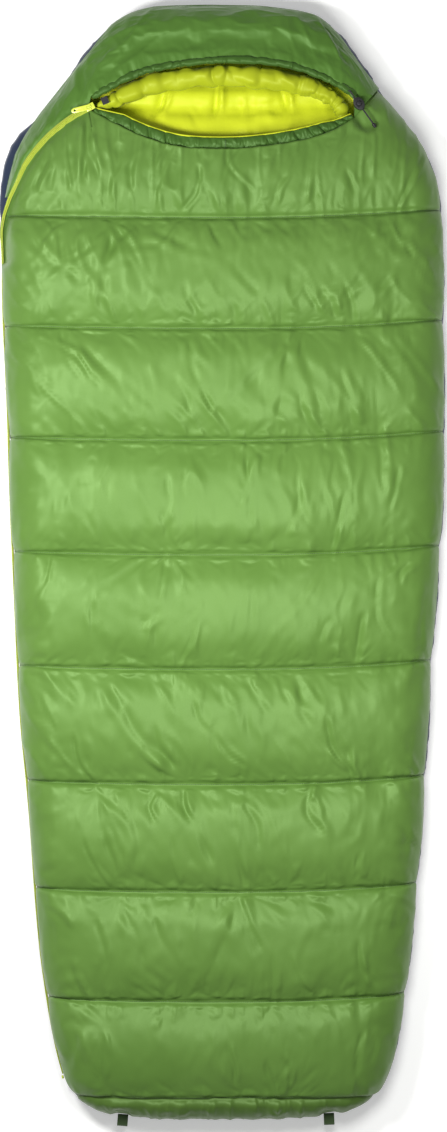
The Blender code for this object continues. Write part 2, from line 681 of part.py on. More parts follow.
def pull(point, across, up, ahead):
    """Flat pull tab, forked over the slider's lug, with a hole at its far end."""
    hinge = point + up * PULL_PIVOT_HEIGHT
    wide, thick, reach, slot = PULL_HALF_WIDTH, PULL_HALF_THICK, PULL_LENGTH, PULL_SLOT
    lean = (ahead + across * 0.22).normalized()
    sideways = up.cross(lean).normalized()
    plan = [(-0.0015, -wide), (reach - 0.005, -wide), (reach, -slot), (reach, slot), (reach - 0.005, wide),
            (-0.0015, wide), (-0.0015, slot), (0.0062, slot), (0.0062, -slot), (-0.0015, -slot)]
    verts = [hinge + lean * a + sideways * b + up * h for h in (-thick, thick) for a, b in plan]
    count = len(plan)
    faces = [tuple(range(count - 1, -1, -1)), tuple(range(count, 2 * count))]
    faces += [(k, (k + 1) % count, count + (k + 1) % count, count + k) for k in range(count)]
    tab = make_object("zip_pull", verts, faces, "lime_plastic", origin=hinge)
    hole_at = hinge + lean * (reach - 0.0065)
    frames = [(hole_at + up * h, lean, sideways) for h in (-0.004, 0.004)]
    drill = sweep("cutter_pull_hole", frames, ellipse(PULL_HOLE_RADIUS, PULL_HOLE_RADIUS, 12), "lime_plastic")
    cut(tab, hide(drill), "DIFFERENCE")


def zip_garage():
    """Black hook and loop tab at the top of the zip."""
    point, across, up = zip_frame(ZIP_TOP - math.radians(4.0))
    ahead = up.cross(across)
    frames = [(point + ahead * s - up * 0.0005, across, up) for s in (-0.0150, -0.0020)]
    sweep("zip_garage", frames, box_section(-0.0070, 0.0070, -0.0012, 0.0012), "black_cord")


def draft_tube():
    """Padded tube inside the bag, behind the zip down the left side."""
    line = [Vector((row_ends(y)[0] + TUBE_IN, y)) for y in [0.60 - 0.15 * k for k in range(11)]]
    sweep("draft_tube", plan_frames(line, lambda p: SEAM_HEIGHT + 0.0092), ellipse(0.0105, 0.0085, 10),
          "liner_lime")


# ---- drawcord and its lock ----------------------------------------------------------------------
def curve_tube(name, points, radius, resolution, finish):
    curve = bpy.data.curves.new(name, "CURVE")
    curve.dimensions = "3D"
    spline = curve.splines.new("POLY")
    spline.points.add(len(points) - 1)
    for target, point in zip(spline.points, points):
        target.co = (*point, 1.0)
    curve.bevel_depth = radius
    curve.bevel_resolution = resolution
    curve.use_fill_caps = True
    curve.materials.append(material(finish))
    thing = bpy.data.objects.new(name, curve)
    bpy.context.scene.collection.objects.link(thing)
    return thing


TAIL_ROUTE = [(0.2447, 0.8908, CORD_HEIGHT), (0.2505, 0.8827, CORD_HEIGHT), (0.2563, 0.8745, CORD_HEIGHT),
              (0.2640, 0.8637, CORD_HEIGHT), (0.2720, 0.8524, CORD_HEIGHT), (0.2790, 0.8426, CORD_HEIGHT),
              (0.2830, 0.8370, CORD_HEIGHT)]


def drawcord():
    line = catmull(HOOD_EDGE, 8)
    inside = [p + hood_normal(p) * HEM_WIDTH * 0.45 for p in line]
    held = [Vector((p.x, p.y, hood_edge_height(p) + 0.001 - HEM_HEIGHT / 2)) for p in inside[3:]]
    exit_point = Vector(TAIL_ROUTE[0])
    back = (exit_point - Vector(TAIL_ROUTE[1])).normalized()
    held = held[:-4] + [exit_point + back * s for s in (0.0080, 0.0040, 0.0006)]
    curve_tube("drawcord", held, CORD_RADIUS, 2, "black_cord")
    curve_tube("cord_tail", catmull(TAIL_ROUTE, 2), CORD_RADIUS, 2, "black_cord")
    way = (Vector(TAIL_ROUTE[-1]) - Vector(TAIL_ROUTE[-2])).normalized()
    side = way.cross(Vector((0, 0, 1)))
    start = Vector(TAIL_ROUTE[-1]) + way * 0.0004
    shape = [(0.0, 0.0016), (0.0012, 0.0030), (0.0060, 0.0034), (0.0088, 0.0018)]
    verts = []
    for s, radius in shape:
        verts += [start + way * s + side * a + Vector((0, 0, b)) for a, b in ellipse(radius, radius, 10)]
    faces = []
    for i in range(len(shape) - 1):
        faces += [(i * 10 + k, i * 10 + (k + 1) % 10, (i + 1) * 10 + (k + 1) % 10, (i + 1) * 10 + k)
                  for k in range(10)]
    faces += [tuple(range(9, -1, -1)), tuple(range(30, 40))]
    make_object("cord_end", verts, faces, "black_plastic")


def cylinder(name, radius, low, high, sides, finish, squash=(1.0, 1.0)):
    """Upright cylinder on the lock's centre; squash is along and across the cord."""
    way = (TAIL_END - LOCK_AT).normalized()
    along_cord, across = Vector((*way, 0.0)), Vector((-way.y, way.x, 0.0))
    base = Vector((*LOCK_AT, 0.0))
    frames = [(base + Vector((0, 0, z)), along_cord, across) for z in (low, high)]
    return sweep(name, frames, ellipse(radius * squash[0], radius * squash[1], sides), finish)


def cord_drill(name, half_width, low, high):
    """Cutter along the cord through the lock."""
    way = (TAIL_END - LOCK_AT).normalized()
    along_cord, across = Vector((*way, 0.0)), Vector((-way.y, way.x, 0.0))
    base = Vector((*LOCK_AT, 0.0))
    frames = [(base + along_cord * s, across, Vector((0, 0, 1))) for s in (-0.03, 0.03)]
    return sweep(name, frames, box_section(-half_width, half_width, low, high), "black_plastic")


def cord_lock():
    top = LOCK_BASE + LOCK_HEIGHT
    body = cylinder("cord_lock_body", LOCK_RADIUS, LOCK_BASE, top, 24, "black_plastic", (1.28, 0.94))
    pocket = cylinder("cutter_pocket", POCKET_RADIUS, LOCK_BASE + 0.0015, top + 0.01, 20, "black_plastic")
    cut(body, hide(pocket), "DIFFERENCE")
    passage = cord_drill("cutter_cord_hole", CORD_HOLE, CORD_HEIGHT - CORD_HOLE, CORD_HEIGHT + CORD_HOLE)
    cut(body, hide(passage), "DIFFERENCE")
    button = cylinder("cord_lock_button", BUTTON_RADIUS, LOCK_BASE + 0.0052, top + 0.0040, 20,
                      "black_plastic")
    cut(button, hide(cord_drill("cutter_button_slot", CORD_HOLE, CORD_HEIGHT - 0.0019, CORD_HEIGHT + 0.0054)),
        "DIFFERENCE")
    turns, per_turn, low, high = 2.5, 10, LOCK_BASE + 0.0022, LOCK_BASE + 0.0046
    count = int(turns * per_turn)
    coil = []
    for k in range(count + 1):
        angle = 2 * math.pi * k / per_turn
        coil.append((LOCK_AT.x + SPRING_RADIUS * math.cos(angle), LOCK_AT.y + SPRING_RADIUS * math.sin(angle),
                     low + (high - low) * k / count))
    curve_tube("cord_lock_spring", coil, SPRING_WIRE, 1, "spring_steel")


# ---- foot loops ---------------------------------------------------------------------------------
def foot_loop(name, x, lean):
    """Folded webbing: up, out and back, with a gap that a hanging cord goes through."""
    length, gap = WEBBING_LENGTH, WEBBING_GAP
    root = Vector((x, foot_edge_y(x) - 0.0006, SEAM_HEIGHT))
    side = Vector((1.0, lean, 0.0)).normalized()
    out = Vector((side.y, -side.x, 0.0))
    path = [(0.0, gap), (0.4 * length, gap + 0.0012), (0.8 * length, gap + 0.0004)]
    path += [(0.8 * length + gap * math.sin(a), gap * math.cos(a)) for a in (0.7, 1.57, 2.44)]
    path += [(0.8 * length, -gap - 0.0004), (0.4 * length, -gap - 0.0012), (0.0, -gap)]
    frames = []
    path = [(s + WEBBING_CLEAR, h) for s, h in path]
    for i, (s, h) in enumerate(path):
        before, after = path[max(i - 1, 0)], path[min(i + 1, len(path) - 1)]
        run = (out * (after[0] - before[0]) + Vector((0, 0, after[1] - before[1]))).normalized()
        frames.append((root + out * s + Vector((0, 0, h)), side, run.cross(side)))
    sweep(name, frames, box_section(-WEBBING_WIDTH / 2, WEBBING_WIDTH / 2, -WEBBING_THICK / 2,
                                     WEBBING_THICK / 2), "webbing_green", origin=root)


def foot_edge_y(x):
    """Outline y at the foot end."""
    points = [p for p in LOOP if p.y < -1.0]
    points.sort(key=lambda p: p.x)
    for a, b in zip(points, points[1:]):
        if a.x <= x <= b.x:
            return a.y + (b.y - a.y) * (x - a.x) / (b.x - a.x)
    return points[0].y


def main():
    clear_scene()
    bottom_quilt()
    front_quilt()
    hood()
    face_edges()
    zip_parts()
    zip_garage()
    draft_tube()
    drawcord()
    cord_lock()
    foot_loop("foot_loop_left", -0.192, -0.08)
    foot_loop("foot_loop_right", 0.2015, 0.04)


main()
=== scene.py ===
"""Looks of the mummy sleeping bag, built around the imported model. Metres, +Z up, +Y towards the head."""
import math

import bmesh
import bpy
import numpy as np
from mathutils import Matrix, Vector


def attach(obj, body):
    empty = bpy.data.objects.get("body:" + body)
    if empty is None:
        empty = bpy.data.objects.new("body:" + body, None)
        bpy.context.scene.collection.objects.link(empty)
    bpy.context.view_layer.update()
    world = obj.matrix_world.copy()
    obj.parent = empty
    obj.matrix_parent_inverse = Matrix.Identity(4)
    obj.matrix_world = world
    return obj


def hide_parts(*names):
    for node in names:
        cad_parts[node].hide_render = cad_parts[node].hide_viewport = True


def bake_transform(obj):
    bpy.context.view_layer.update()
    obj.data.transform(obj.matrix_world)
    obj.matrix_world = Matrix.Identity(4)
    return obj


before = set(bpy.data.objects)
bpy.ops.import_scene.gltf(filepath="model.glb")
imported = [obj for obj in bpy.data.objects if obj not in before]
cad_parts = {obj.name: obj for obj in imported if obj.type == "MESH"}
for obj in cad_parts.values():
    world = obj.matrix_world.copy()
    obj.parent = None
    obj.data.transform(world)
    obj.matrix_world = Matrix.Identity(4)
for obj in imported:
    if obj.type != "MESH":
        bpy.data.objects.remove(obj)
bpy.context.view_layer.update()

# ---- sizes shared with the CAD model ----
SEAM_HEIGHT = 0.038
EDGE_RADIUS = 0.06
BOTTOM_RADIUS = 0.042
FRONT_RISE = 0.062
CROWN = 0.016
CROWN_REACH = 0.35
QUILT = 0.0335
FIRST_SEAM_Y = 0.66
FOOT_SEAM_Y = -1.009
HEAD_ROW_Y = 0.93
ZIP_CENTRE = np.array((-0.112, 0.582))
ZIP_RADIUS = 0.3195
ZIP_TOP = math.radians(116.0)
ZIP_FOLD = math.radians(146.0)
ZIP_START = math.radians(158.0)
ZIP_SLOPE = np.array((0.0525, 0.0456))
ZIP_TOP_HEIGHT = 0.112
SIDE_ZIP_OUT = 0.0016

OUTLINE = [
    (0.000, -1.053), (0.11, -1.052), (0.205, -1.045), (0.262, -1.028), (0.299, -1.001),
    (0.318, -0.96), (0.336, -0.89), (0.353, -0.78), (0.371, -0.6), (0.387, -0.38),
    (0.398, -0.18), (0.411, -0.02), (0.42, 0.15), (0.4225, 0.3), (0.4205, 0.48),
    (0.4195, 0.6), (0.416, 0.69), (0.402, 0.748), (0.376, 0.805), (0.34, 0.856), (0.297, 0.912),
    (0.26, 0.964), (0.222, 1.017), (0.178, 1.052), (0.115, 1.068), (0.03, 1.0735), (-0.07, 1.0735),
    (-0.15, 1.067), (-0.205, 1.043), (-0.253, 0.992), (-0.3, 0.929), (-0.35, 0.868),
    (-0.386, 0.814), (-0.407, 0.758), (-0.418, 0.688), (-0.4215, 0.6), (-0.4205, 0.48),
    (-0.413, 0.32), (-0.407, 0.13), (-0.399, -0.05), (-0.388, -0.28), (-0.371, -0.46),
    (-0.353, -0.7), (-0.331, -0.86), (-0.309, -0.96), (-0.29, -1.003), (-0.26, -1.028),
    (-0.213, -1.045), (-0.12, -1.052)]
HOOD_EDGE = [(-0.246, 0.884), (-0.165, 0.927), (-0.08, 0.946), (0.02, 0.9535), (0.117, 0.945),
             (0.195, 0.918), (0.243, 0.89)]
CHEST_EDGE = [(-0.256, 0.866), (-0.222, 0.846), (-0.155, 0.813), (-0.08, 0.792), (0.02, 0.7885),
              (0.117, 0.799), (0.2, 0.82), (0.247, 0.848)]
SHOULDER_SEAM_END = np.array((0.297, 0.912))
HOOD_CORNER = [(0.25, 0.88), (0.249, 0.864), (0.2475, 0.849)]
HEM_END = [(0.2485, 0.877), (0.247, 0.864)]
LOCK_AT = np.array((0.2563, 0.8745))
LOCK_WAY = np.array((0.58, -0.8146))
LOCK_SLIDE = 0.03
LOCK_FLOOR = 0.1066          # height that fabric stays below along the way the cord lock slides
LOOP_X = (-0.1935, 0.202)


# ---- curves and noise ----
def catmull(points, per_span, closed=False):
    """Points of a smooth curve through `points`."""
    pts = np.asarray(points, float)
    count = len(pts)
    spans = count if closed else count - 1
    t = (np.arange(per_span) / per_span)[:, None]
    result = []
    for i in range(spans):
        near = [(i + k - 1) % count if closed else min(max(i + k - 1, 0), count - 1) for k in range(4)]
        a, b, c, d = pts[near]
        result.append(0.5 * (2 * b + (c - a) * t + (2 * a - 5 * b + 4 * c - d) * t ** 2
                             + (3 * b - a - 3 * c + d) * t ** 3))
    result = np.vstack(result)
    return result if closed else np.vstack([result, pts[-1:]])


def resample(line, stops):
    """Points of a polyline at given fractions of its length."""
    line = np.asarray(line, float)
    lengths = np.r_[0.0, np.cumsum(np.linalg.norm(np.diff(line, axis=0), axis=1))]
    at = np.asarray(stops) * lengths[-1]
    return np.stack([np.interp(at, lengths, line[:, k]) for k in range(line.shape[1])], axis=1)


def ease(value, low, high):
    """0 below low, 1 above high, smooth between."""
    t = np.clip((value - low) / (high - low), 0.0, 1.0)
    return t * t * (3 - 2 * t)


def noise(x, y, size, seed):
    """Smooth value noise from -1 to 1 whose features are about `size` across."""
    grid = np.random.RandomState(seed).uniform(-1, 1, (256, 256))
    u, v = np.asarray(x) / size + 100.0, np.asarray(y) / size + 100.0
    i, j = np.floor(u).astype(int), np.floor(v).astype(int)
    fu, fv = u - i, v - j
    fu, fv = fu * fu * (3 - 2 * fu), fv * fv * (3 - 2 * fv)
    i, j, i1, j1 = i % 256, j % 256, (i + 1) % 256, (j + 1) % 256
    low = grid[i, j] * (1 - fu) + grid[i1, j] * fu
    high = grid[i, j1] * (1 - fu) + grid[i1, j1] * fu
    return low * (1 - fv) + high * fv


LOOP = catmull(OUTLINE, 6, closed=True)


def edge_of(points):
    """Distance of plan points from the outline, and the plan direction out to it."""
    starts, runs = LOOP, np.roll(LOOP, -1, axis=0) - LOOP
    lengths = (runs ** 2).sum(axis=1)
    gap, way = [], []
    for block in np.array_split(points, max(1, len(points) // 4000)):
        rel = block[:, None, :] - starts[None]
        t = np.clip((rel * runs).sum(axis=2) / lengths, 0, 1)
        off = rel - t[..., None] * runs
        dist = np.linalg.norm(off, axis=2)
        best = dist.argmin(axis=1)
        rows = np.arange(len(block))
        d = dist[rows, best]
        out = -off[rows, best] / np.maximum(d, 1e-9)[:, None]
        run = runs[best] / np.sqrt(lengths[best])[:, None]
        normal = np.stack([run[:, 1], -run[:, 0]], axis=1)
        out[d < 2e-5] = normal[d < 2e-5]
        gap.append(d)
        way.append(out)
    return np.concatenate(gap), np.vstack(way)


def row_ends(y):
    """Where the outline crosses one y, at the left and at the right."""
    a, b = LOOP, np.roll(LOOP, -1, axis=0)
    hit = (a[:, 1] - y) * (b[:, 1] - y) <= 0
    a, b = a[hit], b[hit]
    x = a[:, 0] + (b[:, 0] - a[:, 0]) * (y - a[:, 1]) / np.where(b[:, 1] == a[:, 1], 1e-9, b[:, 1] - a[:, 1])
    return x.min(), x.max()


def outline_between(start, end):
    """The stretch of outline, anticlockwise, from near one plan point to near another."""
    first = np.linalg.norm(LOOP - start, axis=1).argmin()
    last = np.linalg.norm(LOOP - end, axis=1).argmin()
    count = (last - first) % len(LOOP)
    return LOOP[(first + np.arange(count + 1)) % len(LOOP)]


def zip_plan(angle, out=0.0):
    """Plan points on the arc of the zip, moved away from its centre by `out`."""
    angle = np.atleast_1d(angle)
    return ZIP_CENTRE + np.stack([np.cos(angle), np.sin(angle)], axis=1) * (ZIP_RADIUS + out)


# ---- the front quilt's plan grid ----
EDGE_COUNT = 20
MIDDLE_COUNT = 200


def row(y):
    """Plan points across the bag at one y, spaced evenly over the rounded edges and the middle."""
    left, right = row_ends(y)
    gap = EDGE_RADIUS * (1 - np.cos(np.linspace(0, math.pi / 2, EDGE_COUNT + 1)))
    middle = np.linspace(left + EDGE_RADIUS, right - EDGE_RADIUS, MIDDLE_COUNT + 1)[1:-1]
    xs = np.r_[left + gap, middle, (right - gap)[::-1]]
    return np.stack([xs, np.full(len(xs), y)], axis=1)


def bow(x):
    """How far a quilting seam lies towards the head at x: its ends lie higher than its middle."""
    return np.where(x > 0, 0.018, 0.007) * np.abs(x / 0.41) ** 2.2


def bowed_row(y):
    """A row whose ends curve up towards the head, still from edge to edge of the outline."""
    line = row(y)
    share = float(ease(y, -1.0, -0.85))
    line[:, 1] += bow(line[:, 0]) * share
    left, right = row_ends(line[0, 1])[0], row_ends(line[-1, 1])[1]
    old_left, old_right = line[0, 0], line[-1, 0]
    line[:, 0] = left + (line[:, 0] - old_left) * (right - left) / (old_right - old_left)
    return line


def chest_rows(count):
    """Rows from the first quilting seam up to the zip, the chest edge and the shoulder seam."""
    base = bowed_row(FIRST_SEAM_Y)
    width = len(base)
    zip_count, seam_count = round(0.24 * width), round(0.11 * width)
    chest_count = width - zip_count - seam_count
    zip_line = zip_plan(np.linspace(ZIP_START, ZIP_TOP, zip_count, endpoint=False), -0.0015)
    chest_line = resample(catmull(CHEST_EDGE, 8), np.arange(chest_count) / chest_count)
    corner = np.array(CHEST_EDGE[-1])
    along = np.linspace(0, 1, seam_count) ** 0.85
    seam_line = corner + (SHOULDER_SEAM_END - corner) * along[:, None]
    top = np.vstack([zip_line, chest_line, seam_line])
    right_line = outline_between(base[-1], SHOULDER_SEAM_END)
    right_line[0], right_line[-1] = base[-1], top[-1]
    left_line = np.stack([base[0], top[0]])
    v = np.linspace(0, 1, count)
    right = resample(right_line, v) - (base[-1] + (top[-1] - base[-1]) * v[:, None])
    left = resample(left_line, v) - (base[0] + (top[0] - base[0]) * v[:, None])
    u = (np.arange(width) / (width - 1))[None, :, None]
    rows = base[None] + (top - base)[None] * v[:, None, None]
    return rows + left[:, None] * (1 - u) + right[:, None] * u ** 2


SEAMS = (0.66, 0.45, 0.238, 0.021, -0.196, -0.414, -0.618, -0.826)
ROW_STEP = 0.0045
CROWDING = 0.65
CHEST_ROWS = 46
PUFF = 0.006            # how far a baffle stands above the CAD surface in its middle
SEAM_DIP = 0.0085        # how far a quilting seam lies below it
WAIST = 0.0035           # how far the quilts pull in at the side seam
SOFT_TOP = 0.126         # height above which folds flatten out, and how much further they reach
SOFT_ROOM = 0.01
ZIP_BELOW = 0.003       # how far the fabric beside the zip lies below the zip's plane


def body_stops():
    """Heights of the rows from the foot seam to the first quilting seam, closer together at the seams."""
    stops = [FOOT_SEAM_Y] + sorted(SEAMS)
    ys, seam_rows = [], []
    for low, high in zip(stops, stops[1:]):
        share = np.linspace(0, 1, round((high - low) / ROW_STEP), endpoint=False)
        ys += list(low + (high - low) * (share - CROWDING * np.sin(2 * math.pi * share) / (2 * math.pi)))
        seam_rows.append(len(ys))
    return ys, seam_rows


def front_plan():
    """Plan grid of the front quilt, each point's height with the bow taken out, and its seam rows."""
    ys, seam_rows = body_stops()
    chest = chest_rows(CHEST_ROWS)
    grid = np.concatenate([np.stack([bowed_row(y) for y in ys]), chest])
    flat_y = np.concatenate([np.repeat(np.array(ys)[:, None], grid.shape[1], axis=1),
                             chest[..., 1] - (chest[0, :, 1] - FIRST_SEAM_Y)])
    return grid, flat_y, seam_rows


def thinned(grid, rows, columns):
    """The same area on a coarser grid, with both borders kept."""
    i = np.unique(np.r_[np.arange(0, grid.shape[0], rows), grid.shape[0] - 1])
    k = np.unique(np.r_[np.arange(0, grid.shape[1], columns), grid.shape[1] - 1])
    return grid[np.ix_(i, k)]


def foot_plan(count):
    """Plan grid of the foot band, from the foot's outline to the foot seam."""
    base = row(FOOT_SEAM_Y)
    arc = outline_between((base[0, 0], FOOT_SEAM_Y - 0.01), (base[-1, 0], FOOT_SEAM_Y - 0.01))
    arc = np.vstack([base[0], arc, base[-1]])
    outer = resample(arc, (base[:, 0] - base[0, 0]) / (base[-1, 0] - base[0, 0]))
    f = np.sin(np.linspace(0, math.pi / 2, count))[::-1, None, None]
    return base[None] + (outer - base)[None] * f


def head_plan(count):
    """Plan grid of the bottom quilt under the head."""
    base = row(HEAD_ROW_Y)
    arc = outline_between((base[-1, 0], HEAD_ROW_Y + 0.015), (base[0, 0], HEAD_ROW_Y + 0.015))[::-1]
    arc = np.vstack([base[0], arc, base[-1]])
    outer = resample(arc, (base[:, 0] - base[0, 0]) / (base[-1, 0] - base[0, 0]))
    f = np.sin(np.linspace(0, math.pi / 2, count))[:, None, None]
    return base[None] + (outer - base)[None] * f


def hood_way(points):
    """Plan directions from the sleeper's chest out over the hood."""
    away = points - np.array((0.0, 0.62))
    return away / np.linalg.norm(away, axis=1)[:, None]


def hood_plan(zip_count, edge_count, count):
    """Plan grid of the hood, from the zip and the hood's edge out to the outline."""
    line = catmull(HOOD_EDGE, 8)
    line = np.vstack([line + hood_way(line) * 0.008, HOOD_CORNER])
    arc = outline_between(SHOULDER_SEAM_END, (-0.418, 0.7))[::-1].copy()
    arc[-1] = SHOULDER_SEAM_END
    inner = np.vstack([zip_plan(np.linspace(ZIP_START, ZIP_TOP, zip_count, endpoint=False), 0.0015),
                       resample(line, np.linspace(0, 1, edge_count))])
    share = np.r_[np.linspace(0, 0.31, zip_count, endpoint=False), np.linspace(0.31, 1, edge_count)]
    outer = resample(arc, share)
    f = np.sin(np.linspace(0, math.pi / 2, count))[:, None, None]
    return inner[None] + (outer - inner)[None] * f


# ---- the zip's line ----
def unit(vectors):
    """Vectors of length 1."""
    vectors = np.asarray(vectors, float)
    return vectors / np.linalg.norm(vectors, axis=-1, keepdims=True)


ZIP_UP = unit((-ZIP_SLOPE[0], -ZIP_SLOPE[1], 1.0))
ZIP_HIGH_END = zip_plan(ZIP_TOP)[0]
ZIP_PIVOT = np.r_[ZIP_CENTRE, ZIP_TOP_HEIGHT + (ZIP_CENTRE - ZIP_HIGH_END) @ ZIP_SLOPE]
ZIP_EAST = unit(np.cross((0.0, 1.0, 0.0), ZIP_UP))
ZIP_NORTH = np.cross(ZIP_UP, ZIP_EAST)
SHOULDER_ZIP = [(-0.3935, 0.727, 0.096, 0.25), (-0.4115, 0.69, 0.082, 0.55),
                (-0.424, 0.645, 0.059, 0.85)]


def arc_frames(angles):
    """Points on the zip's arc, and the way across it to the hood's side."""
    across = ZIP_EAST * np.cos(angles)[:, None] + ZIP_NORTH * np.sin(angles)[:, None]
    return ZIP_PIVOT + across * ZIP_RADIUS, across


def zip_frames(step):
    """Frames from the slider, over the shoulder and down the left side seam, `step` apart."""
    points, across = arc_frames(np.linspace(ZIP_TOP - 0.0176, ZIP_FOLD, 40))
    side = LOOP[(LOOP[:, 0] < 0) & (LOOP[:, 1] > -0.985) & (LOOP[:, 1] < 0.6)][::3]
    out = edge_of(side + np.array((0.004, 0.0)))[1] * SIDE_ZIP_OUT
    side = np.column_stack([side + out, np.full(len(side), SEAM_HEIGHT), np.ones(len(side))])
    control = np.vstack([np.r_[points[-1], 0.0], SHOULDER_ZIP, side])
    turned = catmull(control, 8)[1:]
    line = np.vstack([np.column_stack([points, np.zeros(len(points))]), turned])
    ahead = unit(np.gradient(line[:, :3], axis=0))
    out = edge_of(line[:, :2] + np.array((0.004, 0.0)))[1]
    lean = line[:, 3:4]
    normal = unit(ZIP_UP * (1 - lean) + np.column_stack([out, np.zeros(len(out))]) * lean)
    over = unit(np.cross(ahead, normal))
    over *= np.sign((over * across[0]).sum(axis=1)[0])
    normal = unit(np.cross(over, ahead))
    normal *= np.sign((normal * ZIP_UP).sum(axis=1)[0])
    lengths = np.r_[0.0, np.cumsum(np.linalg.norm(np.diff(line[:, :3], axis=0), axis=1))]
    count = round(lengths[-1] / step)
    at = np.linspace(0, 1, count + 1)
    stops = at * lengths[-1]
    both = np.column_stack([line[:, :3], over, normal])
    frames = np.stack([np.interp(stops, lengths, both[:, k]) for k in range(9)], axis=1)
    return frames[:, :3], unit(frames[:, 3:6]), unit(frames[:, 6:])


ZIP_LINE = zip_frames(0.004)[0]


def settle_on_zip(points, reach=0.013):
    """Pulls fabric near the zip's line to just below the zip."""
    flat = points.reshape(-1, 3)
    near = np.flatnonzero((flat[:, 0] < -0.18) & (flat[:, 1] > 0.52) & (flat[:, 1] < 0.91))
    line = ZIP_LINE[ZIP_LINE[:, 1] > 0.58]
    gaps = np.linalg.norm(flat[near][:, None, :2] - line[None, :, :2], axis=2)
    best = gaps.argmin(axis=1)
    weight = np.exp(-(gaps[np.arange(len(near)), best] / reach) ** 2)
    height = line[best, 2] - ZIP_BELOW
    flat[near, 2] += (height - flat[near, 2]) * weight
    return flat.reshape(points.shape)


def clear_of_lock(points, below=0.0):
    """Holds fabric down under the cord lock and along the way it slides."""
    flat = points.reshape(-1, 3)
    rel = flat[:, :2] - LOCK_AT
    along = np.clip(rel @ LOCK_WAY, 0.0, LOCK_SLIDE)
    gap = np.linalg.norm(rel - along[:, None] * LOCK_WAY, axis=1)
    flat[:, 2] -= np.maximum(flat[:, 2] - LOCK_FLOOR + below, 0) * (1 - ease(gap, 0.015, 0.034))
    return flat.reshape(points.shape)


# ---- surfaces ----
def puff_profile(flat_y):
    """1 in the middle of a baffle and 0 on a seam, where flat_y has the seams' bow taken out."""
    stops = np.array([FOOT_SEAM_Y - 0.02] + sorted(SEAMS))
    lower = np.clip(np.searchsorted(stops, flat_y, side="right") - 1, 0, len(stops) - 1)
    upper_stop = np.r_[stops[1:], 0.885]
    part = np.clip((flat_y - stops[lower]) / (upper_stop[lower] - stops[lower]), 0, 1)
    return np.clip(4 * part * (1 - part), 0, 1) ** 0.42


def seam_gap(flat_y):
    """Distance from the nearest quilting seam."""
    return np.abs(flat_y[..., None] - np.array(SEAMS + (FOOT_SEAM_Y,))).min(axis=-1)


def levelled(z):
    """Heights with everything above SOFT_TOP squeezed into SOFT_ROOM."""
    return np.where(z > SOFT_TOP, SOFT_TOP + SOFT_ROOM * np.tanh((z - SOFT_TOP) / SOFT_ROOM), z)


def over_front(plan, depth=0.0, lift=0.0):
    """Points `depth` below the plain front surface, raised along its normal by `lift`."""
    flat = plan.reshape(-1, 2)
    gap, way = edge_of(flat)
    t = np.clip(1 - gap / EDGE_RADIUS, 0, 1)
    crown = CROWN * (1 - (1 - np.minimum(gap / CROWN_REACH, 1)) ** 2)
    level = np.sqrt(1 - t * t)
    rise = (FRONT_RISE + crown - depth) * level
    lift = np.broadcast_to(lift, plan.shape[:-1]).ravel() * np.minimum(1, rise / 0.01) * (1 - 0.65 * t ** 3)
    out = -depth * t + lift * t - WAIST * np.exp(-rise / 0.012)
    z = levelled(SEAM_HEIGHT + 0.001 + rise + lift * level)
    return np.column_stack([flat + way * out[:, None], z]).reshape(*plan.shape[:-1], 3)


def under_bottom(plan, depth=0.0, lift=0.0):
    """Points `depth` above the bottom quilt's underside, with the rounded side pushed out by `lift`."""
    flat = plan.reshape(-1, 2)
    gap, way = edge_of(flat)
    t = np.clip(1 - gap / BOTTOM_RADIUS, 0, 1)
    level = np.sqrt(1 - t * t)
    drop = (SEAM_HEIGHT - depth) * level
    lift = np.broadcast_to(lift, plan.shape[:-1]).ravel() * np.minimum(1, drop / 0.01)
    out = -depth * t + lift * t - WAIST * np.exp(-drop / 0.01)
    z = SEAM_HEIGHT - 0.001 - drop * (1 - 0.0015 / SEAM_HEIGHT)
    return np.column_stack([flat + way * out[:, None], z]).reshape(*plan.shape[:-1], 3)


# ---- mesh helpers ----
def placed(name, data):
    """A new object in the scene that holds a mesh, curve, lamp or camera."""
    made = bpy.data.objects.new(name, data)
    bpy.context.scene.collection.objects.link(made)
    return made


def mesh_object(name, points, faces):
    """A smooth-shaded mesh object."""
    mesh = bpy.data.meshes.new(name)
    mesh.from_pydata([tuple(p) for p in points], [], faces)
    mesh.validate()
    mesh.shade_smooth()
    return placed(name, mesh)


def grid_faces(rows, columns, offset=0, flip=False):
    """Quads between the points of a grid."""
    i, k = np.meshgrid(np.arange(rows - 1), np.arange(columns - 1), indexing="ij")
    a = (offset + i * columns + k).ravel()
    quads = np.stack([a, a + 1, a + columns + 1, a + columns], axis=1)
    if flip:
        quads = quads[:, ::-1]
    return quads.tolist()


def grid_object(name, grid, flip=False):
    """An open sheet over an array of points (row, column, xyz)."""
    rows, columns = grid.shape[:2]
    return mesh_object(name, grid.reshape(-1, 3), grid_faces(rows, columns, flip=flip))


def drawn_in(plan, share):
    """The plan grid with its last row and both side columns moved towards their neighbours."""
    plan = plan.copy()
    plan[-1] += (plan[-2] - plan[-1]) * share
    plan[:, 0] += (plan[:, 1] - plan[:, 0]) * share
    plan[:, -1] += (plan[:, -2] - plan[:, -1]) * share
    return plan


def slab_object(name, upper, lower):
    """A closed body between two sheets on the same grid."""
    rows, columns = upper.shape[:2]
    size = rows * columns
    faces = grid_faces(rows, columns) + grid_faces(rows, columns, size, flip=True)
    rim = list(range(columns)) + [i * columns + columns - 1 for i in range(1, rows)]
    rim += [(rows - 1) * columns + k for k in range(columns - 2, -1, -1)]
    rim += [i * columns for i in range(rows - 2, 0, -1)]
    faces += [(b, a, size + a, size + b) for a, b in zip(rim, rim[1:] + rim[:1])]
    return mesh_object(name, np.vstack([upper.reshape(-1, 3), lower.reshape(-1, 3)]), faces)


